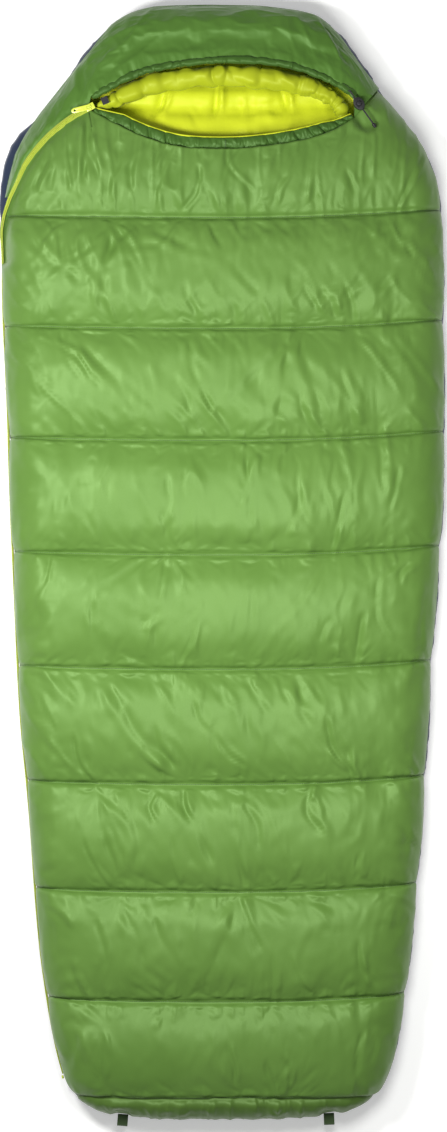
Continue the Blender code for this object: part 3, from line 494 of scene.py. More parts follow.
def sweep(name, frames, section, caps=True):
    """A closed section carried along frames; section is (m, 2), or (n, m, 2) where it changes."""
    points, across, up = frames
    section = np.asarray(section, float)
    if section.ndim == 2:
        section = np.broadcast_to(section, (len(points), *section.shape))
    count, size = section.shape[:2]
    verts = points[:, None] + across[:, None] * section[..., :1] + up[:, None] * section[..., 1:]
    i, k = np.meshgrid(np.arange(count - 1), np.arange(size), indexing="ij")
    a, b = (i * size + k).ravel(), (i * size + (k + 1) % size).ravel()
    faces = np.stack([a, b, b + size, a + size], axis=1).tolist()
    if caps:
        faces += [list(range(size - 1, -1, -1)), list(range((count - 1) * size, count * size))]
    made = mesh_object(name, verts.reshape(-1, 3), faces)
    fix_normals(made)
    return made


def fix_normals(thing):
    shape = bmesh.new()
    shape.from_mesh(thing.data)
    bmesh.ops.recalc_face_normals(shape, faces=shape.faces)
    shape.to_mesh(thing.data)
    shape.free()


def full_turn(steps):
    """Angles evenly spaced once round a circle."""
    return np.linspace(0, 2 * math.pi, steps, endpoint=False)


def ellipse(a, b, sides, centre=(0.0, 0.0)):
    """Points round an ellipse as (across, up) pairs."""
    turn = full_turn(sides)
    return np.stack([centre[0] + a * np.cos(turn), centre[1] + b * np.sin(turn)], axis=1)


def rounded(left, right, low, high, radius, per_corner=4):
    """A rectangle with rounded corners as (across, up) pairs."""
    turn = np.linspace(0, math.pi / 2, per_corner)
    corners = [(right - radius, high - radius, 0), (left + radius, high - radius, 1),
               (left + radius, low + radius, 2), (right - radius, low + radius, 3)]
    return np.vstack([np.stack([cx + radius * np.cos(turn + q * math.pi / 2),
                                cy + radius * np.sin(turn + q * math.pi / 2)], axis=1)
                      for cx, cy, q in corners])


def read_points(thing):
    points = np.empty(len(thing.data.vertices) * 3, np.float32)
    thing.data.vertices.foreach_get("co", points)
    return points.reshape(-1, 3).astype(float)


def write_points(thing, points):
    thing.data.vertices.foreach_set("co", np.asarray(points, np.float32).ravel())
    thing.data.update()


def drape(thing, pinned, rest, frames, pressure, cap):
    """Runs cloth over a sheet whose rest shape is larger than it is, so it puckers between pinned points."""
    start = read_points(thing)
    thing.shape_key_add(name="Basis")
    key = thing.shape_key_add(name="rest")
    key.data.foreach_set("co", rest.astype(np.float32).ravel())
    key.value = 0.0
    group = thing.vertex_groups.new(name="pins")
    group.add(np.flatnonzero(pinned).tolist(), 1.0, "REPLACE")
    cloth = thing.modifiers.new("cloth", "CLOTH")
    settings = cloth.settings
    settings.quality = 4
    settings.mass = 0.12
    settings.air_damping = 2.0
    settings.tension_stiffness = settings.compression_stiffness = 12.0
    settings.shear_stiffness = 4.0
    settings.bending_stiffness = 0.05
    settings.vertex_group_mass = "pins"
    settings.rest_shape_key = key
    settings.use_pressure = True
    settings.uniform_pressure_force = pressure
    settings.effector_weights.gravity = 0.0
    cloth.collision_settings.use_collision = False
    cloth.point_cache.frame_start = 1
    cloth.point_cache.frame_end = frames
    scene = bpy.context.scene
    for number in range(1, frames + 1):
        scene.frame_set(number)
    posed = thing.evaluated_get(bpy.context.evaluated_depsgraph_get())
    moved = np.empty(len(start) * 3, np.float32)
    posed.data.vertices.foreach_get("co", moved)
    moved = moved.reshape(-1, 3).astype(float)
    thing.modifiers.remove(cloth)
    thing.shape_key_clear()
    thing.vertex_groups.clear()
    scene.frame_set(1)
    shift = moved - start
    length = np.linalg.norm(shift, axis=1)
    shift *= (np.tanh(length / cap) * cap / np.maximum(length, 1e-9))[:, None]
    moved = start + shift
    moved[:, 2] = levelled(moved[:, 2])
    write_points(thing, moved)


# ---- materials ----
WAVE_PITCH = 0.314       # pitch of a wave texture's bands at a scale of 1


def linear(red, green, blue):
    """A colour given in 0 to 255 as the shader's linear values."""
    shade = np.array((red, green, blue)) / 255
    return (*np.where(shade <= 0.04045, shade / 12.92, ((shade + 0.055) / 1.055) ** 2.4), 1.0)


def add_node(tree, kind, inputs=None, **settings):
    """A shader node whose inputs are linked or set."""
    made = tree.nodes.new(kind)
    for key, value in settings.items():
        setattr(made, key, value)
    for key, value in (inputs or {}).items():
        if isinstance(value, bpy.types.NodeSocket):
            tree.links.new(value, made.inputs[key])
        else:
            made.inputs[key].default_value = value
    return made


def new_material(name, roughness):
    """A material with its node tree, its shader and the object coordinates."""
    made = bpy.data.materials.new(name)
    made.use_nodes = True
    tree = made.node_tree
    shader = tree.nodes["Principled BSDF"]
    shader.inputs["Roughness"].default_value = roughness
    place = tree.nodes.new("ShaderNodeTexCoord").outputs["Object"]
    return made, tree, shader, place


def two_tone(tree, shader, place, colour, deep, scale, share=0.5):
    """Base colour that wanders between two tones."""
    patch = add_node(tree, "ShaderNodeTexNoise", {"Vector": place, "Scale": scale, "Detail": 4.0})
    spread = add_node(tree, "ShaderNodeMapRange", {"Value": patch.outputs["Fac"], "From Min": 0.35,
                                                   "From Max": 0.65, "To Max": share})
    mixed = add_node(tree, "ShaderNodeMix", {0: spread.outputs["Result"], 6: colour, 7: deep},
                     data_type="RGBA")
    tree.links.new(mixed.outputs[2], shader.inputs["Base Color"])


def fabric(name, colour, deep, roughness=0.43, sheen=0.05, crumple=0.7, size=0.034, pitch=0.0012,
           stretch=0.45, relief=0.006):
    """Plain-weave cloth with sharp crumples that run mostly up the bag, and a soft sheen."""
    made, tree, shader, place = new_material(name, roughness)
    shader.inputs["Sheen Weight"].default_value = sheen
    shader.inputs["Sheen Roughness"].default_value = 0.35
    shader.inputs["Specular IOR Level"].default_value = 0.36
    tint = np.array(colour[:3]) / max(colour[:3])
    shader.inputs["Specular Tint"].default_value = (*(0.35 + 0.65 * tint), 1.0)
    two_tone(tree, shader, place, colour, deep, 9.0)
    warp = add_node(tree, "ShaderNodeTexNoise", {"Vector": place, "Scale": 7.0, "Detail": 1.0})
    shift = add_node(tree, "ShaderNodeVectorMath", {0: warp.outputs["Color"], 1: (0.07, 0.07, 0.02)},
                     operation="MULTIPLY")
    moved = add_node(tree, "ShaderNodeVectorMath", {0: place, 1: shift.outputs["Vector"]}, operation="ADD")
    drawn = add_node(tree, "ShaderNodeVectorMath", {0: moved.outputs["Vector"], 1: (1.0, stretch, 1.0)},
                     operation="MULTIPLY")
    creased = add_node(tree, "ShaderNodeTexNoise", {"Vector": drawn.outputs["Vector"], "Scale": 1 / size,
                                                    "Detail": 1.2, "Roughness": 0.4},
                       noise_type="RIDGED_MULTIFRACTAL")
    folds = add_node(tree, "ShaderNodeBump", {"Height": creased.outputs["Fac"], "Strength": crumple,
                                              "Distance": relief})
    waves = [add_node(tree, "ShaderNodeTexWave", {"Vector": place, "Scale": WAVE_PITCH / pitch},
                      bands_direction=way) for way in "XY"]
    both = add_node(tree, "ShaderNodeMath", {0: waves[0].outputs["Fac"], 1: waves[1].outputs["Fac"]},
                    operation="MULTIPLY")
    weave = add_node(tree, "ShaderNodeBump", {"Height": both.outputs[0], "Strength": 0.1, "Distance": 0.0003,
                                              "Normal": folds.outputs["Normal"]})
    tree.links.new(weave.outputs["Normal"], shader.inputs["Normal"])
    return made


def solid(name, colour, deep, roughness, metallic=0.0, grain=0.15, size=0.0006):
    """Moulded plastic or metal with a fine grain and rubbed patches."""
    made, tree, shader, place = new_material(name, roughness)
    shader.inputs["Metallic"].default_value = metallic
    two_tone(tree, shader, place, colour, deep, 220.0)
    speck = add_node(tree, "ShaderNodeTexNoise", {"Vector": place, "Scale": 1 / size, "Detail": 2.0})
    bump = add_node(tree, "ShaderNodeBump", {"Height": speck.outputs["Fac"], "Strength": grain,
                                             "Distance": 0.0002})
    tree.links.new(bump.outputs["Normal"], shader.inputs["Normal"])
    return made


def ribbed(name, colour, deep, roughness, pitch, way="Y"):
    """Woven tape, cord or thread with ribs across one direction, coloured darker in the hollows between ribs
    as painted shade.
    """
    made, tree, shader, place = new_material(name, roughness)
    shader.inputs["Sheen Weight"].default_value = 0.3
    wave = add_node(tree, "ShaderNodeTexWave", {"Vector": place, "Scale": WAVE_PITCH / pitch,
                                                "Distortion": 0.3}, bands_direction=way)
    # Base colour follows the rib relief: the second colour is painted shade in the hollows between ribs.
    mixed = add_node(tree, "ShaderNodeMix", {0: wave.outputs["Fac"], 6: deep, 7: colour}, data_type="RGBA")
    tree.links.new(mixed.outputs[2], shader.inputs["Base Color"])
    bump = add_node(tree, "ShaderNodeBump", {"Height": wave.outputs["Fac"], "Strength": 0.4,
                                             "Distance": 0.0004})
    tree.links.new(bump.outputs["Normal"], shader.inputs["Normal"])
    return made


SHELL_GREEN = fabric("shell_green_taffeta", linear(88, 121, 54), linear(78, 111, 45))
# Hood: the shell's green made darker, painted shade for hood surfaces that get less light and tilt away from
# it.
HOOD_GREEN_PAINTED_SHADE = fabric("hood_green_taffeta_painted_shade", linear(77, 113, 46), linear(66, 100, 37), crumple=0.4)
HEM_GREEN = fabric("hem_green_taffeta", linear(62, 93, 36), linear(48, 76, 28), size=0.012)
# Foot band: the shell's green made darker, painted shade for the band's surface that tilts away from the
# light.
FOOT_GREEN_PAINTED_SHADE = fabric("foot_green_taffeta_painted_shade", linear(76, 104, 44), linear(60, 86, 33), size=0.02)
LIME = fabric("lime_lining_taffeta", linear(198, 208, 42), linear(180, 190, 30), crumple=0.8, relief=0.009)
# Face roll: the lining's lime made darker, painted shade for the shadows in the roll's folds.
ROLL_LIME_PAINTED_SHADE = fabric("lime_roll_taffeta_painted_shade", linear(168, 180, 36), linear(146, 158, 26), crumple=1.0, size=0.03,
                   stretch=0.8, relief=0.012)
NAVY = fabric("navy_underside_taffeta", linear(46, 56, 76), linear(34, 42, 60))
FILLING = fabric("white_polyester_filling", linear(236, 236, 230), linear(216, 216, 208), roughness=0.9,
                 sheen=0.5, crumple=0.8, size=0.012)
# Ribbed materials: each second colour is painted shade in the hollows between ribs.
THREAD = ribbed("dark_green_thread", linear(58, 92, 34), linear(38, 64, 22), 0.55, 0.0008)
LIME_TAPE = ribbed("lime_zip_tape", linear(172, 186, 44), linear(140, 156, 28), 0.6, 0.001)
LIME_COIL = solid("lime_zip_coil", linear(166, 182, 42), linear(136, 152, 28), 0.45)
LIME_METAL = solid("lime_lacquered_metal", linear(206, 218, 74), linear(176, 190, 52), 0.28, grain=0.08)
BLACK_PLASTIC = solid("black_plastic", linear(20, 20, 22), linear(10, 10, 12), 0.5)
BLACK_CORD = ribbed("black_braided_cord", linear(24, 24, 26), linear(8, 8, 9), 0.7, 0.0011)
STEEL = solid("spring_steel", linear(180, 182, 186), linear(140, 142, 146), 0.3, metallic=1.0)
WEBBING = ribbed("green_webbing", linear(66, 92, 44), linear(46, 68, 30), 0.7, 0.0016)


def finish_piece(piece, material, body, nodes=()):
    """Gives a piece its material and body; a piece whose body is "corner" only has its transform baked in and
    is not attached to a body.
    """
    piece.data.materials.clear()
    piece.data.materials.append(material)
    if body == "corner":
        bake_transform(piece)
    else:
        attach(piece, body)
    if nodes:
        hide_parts(*nodes)
    return piece


def softened(node, name, bevel, segments=3):
    """A copy of a CAD node's shape with rounded edges."""
    piece = placed(name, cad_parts[node].data.copy())
    if bevel:
        shape = bmesh.new()
        shape.from_mesh(piece.data)
        bmesh.ops.remove_doubles(shape, verts=shape.verts, dist=1e-6)
        bmesh.ops.dissolve_limit(shape, angle_limit=math.radians(2), verts=shape.verts, edges=shape.edges)
        sharp = [e for e in shape.edges if e.is_manifold and e.calc_face_angle() > math.radians(35)]
        bmesh.ops.bevel(shape, geom=sharp, offset=bevel, segments=segments, profile=0.5, affect="EDGES",
                        clamp_overlap=True)
        shape.to_mesh(piece.data)
        shape.free()
    piece.data.shade_smooth()
    piece.data.set_sharp_from_angle(angle=math.radians(40))
    return piece


# ---- folds and puckers ----
def ridges(values):
    """Turns noise from -1 to 1 into sharp-crested folds from 0 to 1."""
    return (1 - np.abs(values)) ** 2


def pleats(u, v, size, seed):
    """Sharp-crested folds from 0 to 1, about `size` apart."""
    return ridges(noise(u, v, size, seed))


def streaks(x, y, angle, width, length, seed):
    """Long folds that run at an angle from the x axis, from 0 to 1."""
    c, s = math.cos(angle), math.sin(angle)
    along, across = x * c + y * s, -x * s + y * c
    wander = 0.3 * width * noise(x, y, 0.09, seed + 50)
    return pleats((across + wander) / width * 0.01, along / length * 0.01, 0.01, seed)


def window(value, low, high, soft=0.03):
    """1 between low and high, 0 outside, smooth at both."""
    return ease(value, low - soft, low + soft) * (1 - ease(value, high - soft, high + soft))


def crease(x, y, start, end, width, depth):
    """A single fold along a line: a ridge with a shadowed foot on one side."""
    start, end = np.array(start), np.array(end)
    run = end - start
    length = np.linalg.norm(run)
    run = run / length
    along = ((x - start[0]) * run[0] + (y - start[1]) * run[1]) / length
    across = -(x - start[0]) * run[1] + (y - start[1]) * run[0]
    across = across + 0.12 * length * noise(along, along * 0, 0.5, int(abs(start[0]) * 1e4))
    fade = window(along, 0.08, 0.92, 0.12)
    foot = 0.8 * np.exp(-((across - 1.6 * width) / width) ** 2)
    return depth * fade * (np.exp(-(across / width) ** 2) - foot)


FOLDS = [
    # from y, to y, direction in degrees, width, length, height, seed
    (0.67, 0.86, 92, 0.02, 0.11, 0.0045, 31),
    (0.67, 0.86, 75, 0.045, 0.16, 0.004, 32),
    (0.46, 0.65, 118, 0.024, 0.08, 0.005, 33),
    (0.46, 0.65, 50, 0.03, 0.07, 0.0035, 34),
    (0.25, 0.44, 125, 0.032, 0.12, 0.005, 35),
    (0.03, 0.23, 100, 0.04, 0.14, 0.004, 36),
    (-0.185, 0.01, 80, 0.045, 0.14, 0.004, 37),
    (-0.4, -0.205, 122, 0.04, 0.13, 0.0045, 38),
    (-0.61, -0.425, 112, 0.04, 0.12, 0.005, 39),
    (-0.815, -0.63, 108, 0.055, 0.12, 0.004, 40),
    (-1.000, -0.835, 95, 0.06, 0.12, 0.0035, 41),
]
CREASES = [
    # start, end, width, depth
    ((-0.266, 0.85), (-0.268, 0.715), 0.006, 0.005),
    ((-0.235, 0.65), (-0.25, 0.48), 0.01, 0.005),
    ((-0.15, 0.64), (-0.02, 0.56), 0.008, 0.0035),
    ((-0.05, 0.645), (0.08, 0.5), 0.009, 0.004),
    ((0.098, 0.445), (0.2, 0.27), 0.01, 0.004),
    ((0.098, 0.445), (0.01, 0.3), 0.009, 0.0035),
    ((0.098, 0.445), (0.11, 0.27), 0.008, 0.003),
    ((-0.28, 0.43), (-0.15, 0.27), 0.01, 0.004),
    ((-0.1, 0.44), (-0.03, 0.26), 0.009, 0.0035),
    ((-0.24, -0.215), (-0.11, -0.414), 0.01, 0.0055),
    ((-0.11, -0.42), (-0.04, -0.6), 0.01, 0.0045),
    ((-0.22, -0.43), (-0.17, -0.59), 0.009, 0.0035),
    ((0.1, -0.21), (0.19, -0.39), 0.01, 0.0035),
    ((0.02, -0.64), (-0.06, -0.81), 0.011, 0.0035),
    ((-0.2, -0.64), (-0.16, -0.8), 0.01, 0.003),
]


def small_creases():
    """Short folds in each baffle, most of them along that baffle's own direction."""
    pick = np.random.RandomState(7)
    found = []
    for low, high, angle, *_ in FOLDS:
        for _ in range(13):
            way = math.radians(angle + pick.normal(0, 14))
            length = pick.uniform(0.045, 0.6 * (high - low) + 0.03)
            middle = np.array((pick.uniform(-0.36, 0.36), pick.uniform(low + 0.02, high - 0.02)))
            run = np.array((math.cos(way), math.sin(way))) * length / 2
            width, height = pick.uniform(0.004, 0.008), pick.uniform(0.0015, 0.0038)
            found.append((middle - run, middle + run, width, height))
    return found


def front_lift(x, y, flat_y):
    """Height of the front shell over the plain surface: baffles, seams, puckers and folds."""
    profile = puff_profile(flat_y)
    lift = PUFF * profile - SEAM_DIP * (1 - profile)
    gap = seam_gap(flat_y)
    pucker = pleats(x, y * 0.3, 0.011, 3) * (0.6 + 0.4 * noise(x, y, 0.05, 4))
    lift += 0.0044 * pucker * np.exp(-gap / 0.016) * ease(gap, 0.0, 0.004)
    long_pucker = pleats(x + 0.2 * gap * noise(x, y, 0.1, 6), y * 0.22, 0.026, 5)
    lift += 0.0034 * long_pucker * np.exp(-gap / 0.04) * ease(gap, 0.0, 0.008)
    for low, high, angle, width, length, height, seed in FOLDS:
        lift += height * streaks(x, y, math.radians(angle), width, length, seed) * window(flat_y, low, high)
    for start, end, width, depth in CREASES + small_creases():
        lift += crease(x, y, start, end, width, depth)
    lift += 0.0022 * noise(x, y, 0.05, 21) + 0.001 * noise(x, y, 0.016, 22)
    lift -= 0.003 * np.exp(-gap / 0.0022)
    return lift


# ---- the front quilt ----
SIM_FRAMES = 16
WRAP_ROWS = 6


def wrap_edge(top, step_in=0.0025):
    """Rows that turn a quilt's open edge down from its shell to its lining."""
    inward = np.zeros_like(top)
    ahead = np.gradient(top[:, :2], axis=0)
    inward[:, :2] = unit(np.stack([ahead[:, 1], -ahead[:, 0]], axis=1))
    rows = []
    for k in range(1, WRAP_ROWS + 1):
        share = k / WRAP_ROWS
        drop = np.zeros_like(top)
        drop[:, 2] = -QUILT * share
        rows.append(top + drop - inward * step_in * math.sin(math.pi * share))
    return np.stack(rows)


def front_quilt():
    """Shell, lining, filling and stitches of the front quilt, down to the foot seam."""
    plan, flat_y, seam_rows = front_plan()
    x, y = plan[..., 0], plan[..., 1]
    points = settle_on_zip(over_front(plan, 0.0, front_lift(x, y, flat_y)))
    shell = grid_object("front_quilt_shell", points)
    pinned = np.zeros(plan.shape[:2], bool)
    pinned[seam_rows] = True
    pinned[0] = pinned[-1] = True
    pinned[:, :2] = pinned[:, -2:] = True
    zip_gap = np.linalg.norm(points[..., None, :2] - ZIP_LINE[ZIP_LINE[:, 1] > 0.58][None, None, ::4, :2],
                             axis=3).min(axis=2)
    pinned |= zip_gap < 0.008
    rest = points.reshape(-1, 3) * np.array((1.11, 1.05, 1.04))
    drape(shell, pinned.ravel(), rest, SIM_FRAMES, 5.0, 0.016)
    points = clear_of_lock(read_points(shell), 0.0012).reshape(points.shape)
    wrapped = np.concatenate([points, wrap_edge(points[-1])])
    bpy.data.objects.remove(shell)
    shell = grid_object("front_quilt_shell", wrapped)
    finish_piece(shell, SHELL_GREEN, "corner", ["top_shell", "corner_shell"])
    foot = foot_plan(12)[:-1]
    coarse = thinned(np.concatenate([foot, plan]), 5, 5)
    coarse_y = thinned(np.concatenate([foot[..., 1:], flat_y[..., None]]), 5, 5)[..., 0]
    lift = -SEAM_DIP * (1 - puff_profile(coarse_y))
    under = settle_on_zip(over_front(coarse, QUILT + 0.001, lift))
    lining = grid_object("front_quilt_lining", under, flip=True)
    finish_piece(lining, LIME, "corner", ["top_liner", "corner_liner"])
    inside = drawn_in(coarse, 0.75)
    upper = settle_on_zip(over_front(inside, 0.013, lift)) - np.array((0, 0, 0.004))
    lower = over_front(inside, QUILT - 0.002, lift)
    lower[..., 2] = np.minimum(lower[..., 2], upper[..., 2] - 0.002)
    filling = slab_object("front_quilt_filling", upper, lower)
    finish_piece(filling, FILLING, "corner", ["top_insulation", "corner_insulation"])
    rows = [points[k] for k in seam_rows]
    stitch_lines("quilting_stitches", rows[:-1] + [points[0]], 0.0042)
    stitch_lines("chest_seam_stitches", rows[-1:], 0.0042)
    return points


def stitch_lines(name, lines, pitch, length=0.003, radius=0.0005, lift=0.0007):
    """Thread stitches laid end to end along 3-D lines on the front."""
    ring = ellipse(radius * 1.3, radius, 5)
    verts, faces = [], []
    for line in lines:
        total = np.linalg.norm(np.diff(line, axis=0), axis=1).sum()
        count = int(total / pitch)
        dense = resample(line, np.linspace(0, 1, 2 * count + 1))
        mids, ways = dense[1::2], unit(dense[2::2] - dense[:-2:2])
        for mid, way in zip(mids, ways):
            side = unit(np.cross(way, (0, 0, 1)))
            up = np.cross(side, way)
            centre = mid + up * lift
            base = len(verts)
            for s, scale in ((-0.5, 0.6), (0.0, 1.0), (0.5, 0.6)):
                for a, b in ring * scale:
                    verts.append(centre + way * length * s + side * a + up * b)
            for r in range(2):
                for k in range(5):
                    a, b = base + r * 5 + k, base + r * 5 + (k + 1) % 5
                    faces.append((a, b, b + 5, a + 5))
            faces.append(tuple(base + k for k in range(4, -1, -1)))
            faces.append(tuple(base + 10 + k for k in range(5)))
    thread = mesh_object(name, verts, faces)
    return finish_piece(thread, THREAD, "bag")


def foot_band(front_points):
    """Gathered band round the foot end, flat beside the webbing loops."""
    plan = foot_plan(30)
    x, y = plan[..., 0], plan[..., 1]
    depth = FOOT_SEAM_Y - y
    pleat = pleats(x, y * 0.15, 0.026, 61) * 0.006 + pleats(x, y * 0.3, 0.011, 62) * 0.0028
    puff = 0.01 * np.clip(depth / 0.03, 0, 1) ** 0.6 - SEAM_DIP * (1 - np.clip(depth / 0.012, 0, 1) ** 0.6)
    lift = puff + pleat * ease(depth, 0.0, 0.01)
    for loop_x in LOOP_X:
        lift = lift * (1 - np.exp(-((x - loop_x) / 0.017) ** 4) * ease(depth, 0.012, 0.03))
    points = over_front(plan, 0.0, lift)
    points[-1] = front_points[0]
    band = grid_object("foot_band_cover", points)
    finish_piece(band, FOOT_GREEN_PAINTED_SHADE, "bag", ["foot_band"])


# ---- hood and bottom ----
def hood():
    """Shell, lining and filling of the hood."""
    plan = hood_plan(80, 170, 64)
    x, y = plan[..., 0], plan[..., 1]
    share = np.linspace(0, 1, plan.shape[0])[:, None]
    from_edge = np.linalg.norm(plan - plan[:1], axis=2)
    lift = 0.004 * np.sin(math.pi * np.clip(share, 0, 1)) ** 0.7
    column = np.arange(plan.shape[1])[None, :] * 0.0042 + 0.1 * from_edge
    gather = pleats(column, from_edge * 0.25, 0.016, 71) + 0.5 * pleats(column, from_edge * 0.2, 0.007, 72)
    lift = lift + 0.0032 * gather * np.exp(-from_edge / 0.03)
    lift += 0.003 * streaks(x, y, math.radians(60), 0.04, 0.12, 73) * window(x, -0.45, -0.1)
    lift += 0.003 * streaks(x, y, math.radians(115), 0.035, 0.12, 74) * window(x, 0.06, 0.5)
    lift += 0.002 * noise(x, y, 0.06, 75) + 0.0008 * noise(x, y, 0.018, 76)
    lift += crease(x, y, (-0.262, 0.885), (-0.262, 1.01), 0.006, -0.0035)
    lift += crease(x, y, (0.262, 0.88), (0.33, 0.862), 0.006, -0.004)
    points = settle_on_zip(over_front(plan, 0.0, lift))
    shell = grid_object("hood_quilt_shell", points, flip=True)
    pinned = np.zeros(plan.shape[:2], bool)
    pinned[:2] = pinned[-2:] = True
    pinned[:, 0] = pinned[:, -1] = True
    drape(shell, pinned.ravel(), points.reshape(-1, 3) * np.array((1.035, 1.025, 1.02)), 12, 5.0, 0.01)
    points = clear_of_lock(read_points(shell), 0.0006).reshape(points.shape)
    wrapped = np.concatenate([wrap_edge(points[0], -0.001)[::-1], points])
    bpy.data.objects.remove(shell)
    shell = grid_object("hood_quilt_shell", wrapped, flip=True)
    finish_piece(shell, HOOD_GREEN_PAINTED_SHADE, "bag", ["hood_shell"])
    coarse = thinned(plan, 4, 4)
    lining = grid_object("hood_quilt_lining", over_front(coarse, QUILT + 0.001, 0.0))
    finish_piece(lining, LIME, "bag", ["hood_liner"])
    inside = drawn_in(coarse[::-1], 0.75)[::-1]
    filling = slab_object("hood_quilt_filling", over_front(inside, QUILT - 0.002, 0.0),
                          over_front(inside, 0.01, 0.0) - np.array((0, 0, 0.003)))
    finish_piece(filling, FILLING, "bag", ["hood_insulation"])
    return points


def bottom_plan(rows, columns):
    """Plan grid of the bottom quilt."""
    ys, _ = body_stops()
    grid = np.concatenate([foot_plan(18)[:-1], np.stack([row(y) for y in ys]),
                           np.stack([row(y) for y in np.arange(FIRST_SEAM_Y, HEAD_ROW_Y - 0.003, 0.006)]),
                           head_plan(18)])
    return thinned(grid, rows, columns)


def bottom():
    """Navy shell, filling and lining of the bottom quilt."""
    plan = bottom_plan(2, 2)
    x, y = plan[..., 0], plan[..., 1]
    profile = puff_profile(np.where(y > 0.66, 1.32 - y, y))
    lift = 0.006 * profile - 0.006 * (1 - profile) + 0.003 * pleats(x * 0.3, y, 0.018, 81)
    lift += 0.013 * window(y, 0.62, 0.83, 0.03) * (x < -0.2)
    shell = grid_object("bottom_quilt_shell", under_bottom(plan, 0.0, lift), flip=True)
    finish_piece(shell, NAVY, "bag", ["bottom_shell"])
    coarse = thinned(plan, 3, 3)
    low = under_bottom(coarse, 0.006)
    top = low.copy()
    top[..., 2] = np.maximum(SEAM_HEIGHT - 0.004, low[..., 2] + 0.0002)
    filling = slab_object("bottom_quilt_filling", top, low)
    finish_piece(filling, FILLING, "bag", ["bottom_insulation"])
    bottom_lining(plan)


def bottom_lining(plan):
    """Lime lining, raised behind the face opening, with its seam and three creases."""
    x, y = plan[..., 0], plan[..., 1]
    points = under_bottom(plan, 0.006)
    gap = edge_of(plan.reshape(-1, 2))[0].reshape(x.shape)
    inside = ease(gap, 0.01, 0.06)
    face = window(y, 0.76, 1.00, 0.05) * window(x, -0.27, 0.27, 0.05)
    seam = 0.873 + 0.01 * (x / 0.25) ** 2
    rise = 0.004 + 0.01 * face + 0.004 * noise(x, y, 0.1, 91) + 0.004 * noise(x, y, 0.04, 92) * face
    upper_bulge = np.clip((y - seam) / 0.045, 0, 1)
    lower_bulge = np.clip((seam - y) / 0.1, 0, 1)
    bulges = 0.018 * np.sin(math.pi * upper_bulge) ** 0.6 + 0.029 * np.sin(math.pi * lower_bulge) ** 0.5
    rise += face * bulges
    rise -= 0.006 * face * np.exp(-np.abs(y - seam) / 0.004)
    rise += 0.006 * face * pleats(x, y * 0.3, 0.026, 93) * np.exp(-np.abs(y - seam) / 0.02)
    for start, end in (((-0.112, 0.915), (-0.13, 0.855)), ((-0.016, 0.915), (-0.018, 0.86)),
                       ((0.112, 0.91), (0.118, 0.87))):
        rise += crease(x, y, start, end, 0.006, -0.012)
    points[..., 2] = SEAM_HEIGHT - 0.001 + rise * inside
    lining = grid_object("bottom_quilt_lining", points)
    finish_piece(lining, LIME, "bag", ["bottom_liner"])


# ---- edges around the face ----
ROLL_LINE = [(-0.24, 0.872, 0.1, 0.004), (-0.225, 0.876, 0.097, 0.012), (-0.205, 0.884, 0.092, 0.018),
             (-0.165, 0.9035, 0.088, 0.0205), (-0.12, 0.918, 0.087, 0.0215), (-0.06, 0.928, 0.087, 0.022),
             (0.000, 0.931, 0.087, 0.0225), (0.06, 0.929, 0.087, 0.022), (0.117, 0.922, 0.087, 0.0215),
             (0.17, 0.906, 0.087, 0.021), (0.203, 0.889, 0.086, 0.0195), (0.221, 0.87, 0.083, 0.018),
             (0.226, 0.85, 0.076, 0.016)]


def upright_frames(line):
    """Frames along a 3-D line; across points to its left in plan."""
    ahead = np.gradient(line[:, :2], axis=0)
    across = unit(np.column_stack([-ahead[:, 1], ahead[:, 0], np.zeros(len(line))]))
    up = np.broadcast_to(np.array((0.0, 0.0, 1.0)), across.shape)
    return line[:, :3], across, up


def face_roll():
    """Padded lime roll inside the hood's edge, tightly folded at its right end."""
    line = resample(catmull(ROLL_LINE, 10), np.linspace(0, 1, 260))
    s = np.arange(len(line)) * 0.0021
    turn = full_turn(40)
    ss, tt = np.meshgrid(s, turn, indexing="ij")
    radius = line[:, 3][:, None]
    fold = pleats(ss + 0.006 * np.sin(tt), np.cos(tt) * 0.01, 0.022, 101)
    tight = pleats(ss + 0.004 * np.sin(tt), np.cos(tt) * 0.006, 0.009, 102) * ease(ss, 0.4, 0.5)
    radius = radius * (1.04 - 0.24 * fold - 0.28 * tight + 0.08 * noise(ss, tt * 0.01, 0.04, 103))
    sag = 0.0035 * noise(ss, ss * 0, 0.045, 104) * (np.cos(tt) < 0) * np.abs(np.cos(tt))
    section = np.stack([radius * np.cos(turn) + sag, radius * 0.95 * np.sin(turn)], axis=2)
    roll = sweep("lime_face_roll", upright_frames(line), section)
    finish_piece(roll, ROLL_LIME_PAINTED_SHADE, "bag", ["face_roll"])


def front_height(points):
    """Height of the plain front surface at plan points."""
    return over_front(points[None], 0.0)[0, :, 2]


def hood_hem():
    """Gathered channel round the hood's edge, which ends under the cord lock."""
    line = resample(catmull(HOOD_EDGE + HEM_END, 10), np.linspace(0, 1, 310))
    line = line + hood_way(line) * 0.005
    line = np.column_stack([line, front_height(line) + 0.001])
    s = np.arange(len(line)) * 0.0018
    turn = full_turn(24)
    ss, tt = np.meshgrid(s, turn, indexing="ij")
    gather = pleats(ss + 0.004 * np.cos(tt), np.sin(tt) * 0.005, 0.015, 111)
    wave = noise(ss, ss * 0, 0.03, 112)
    grow = 1.04 - 0.26 * gather + 0.12 * wave
    ends = np.minimum(1, np.minimum(ss, s[-1] - ss) / 0.02 + 0.45)
    section = np.stack([0.0072 * grow * ends * np.cos(turn), 0.0062 * grow * ends * np.sin(turn)], axis=2)
    hem = sweep("hood_hem_channel", upright_frames(line), section)
    write_points(hem, clear_of_lock(read_points(hem)))
    finish_piece(hem, HEM_GREEN, "bag", ["hood_hem"])


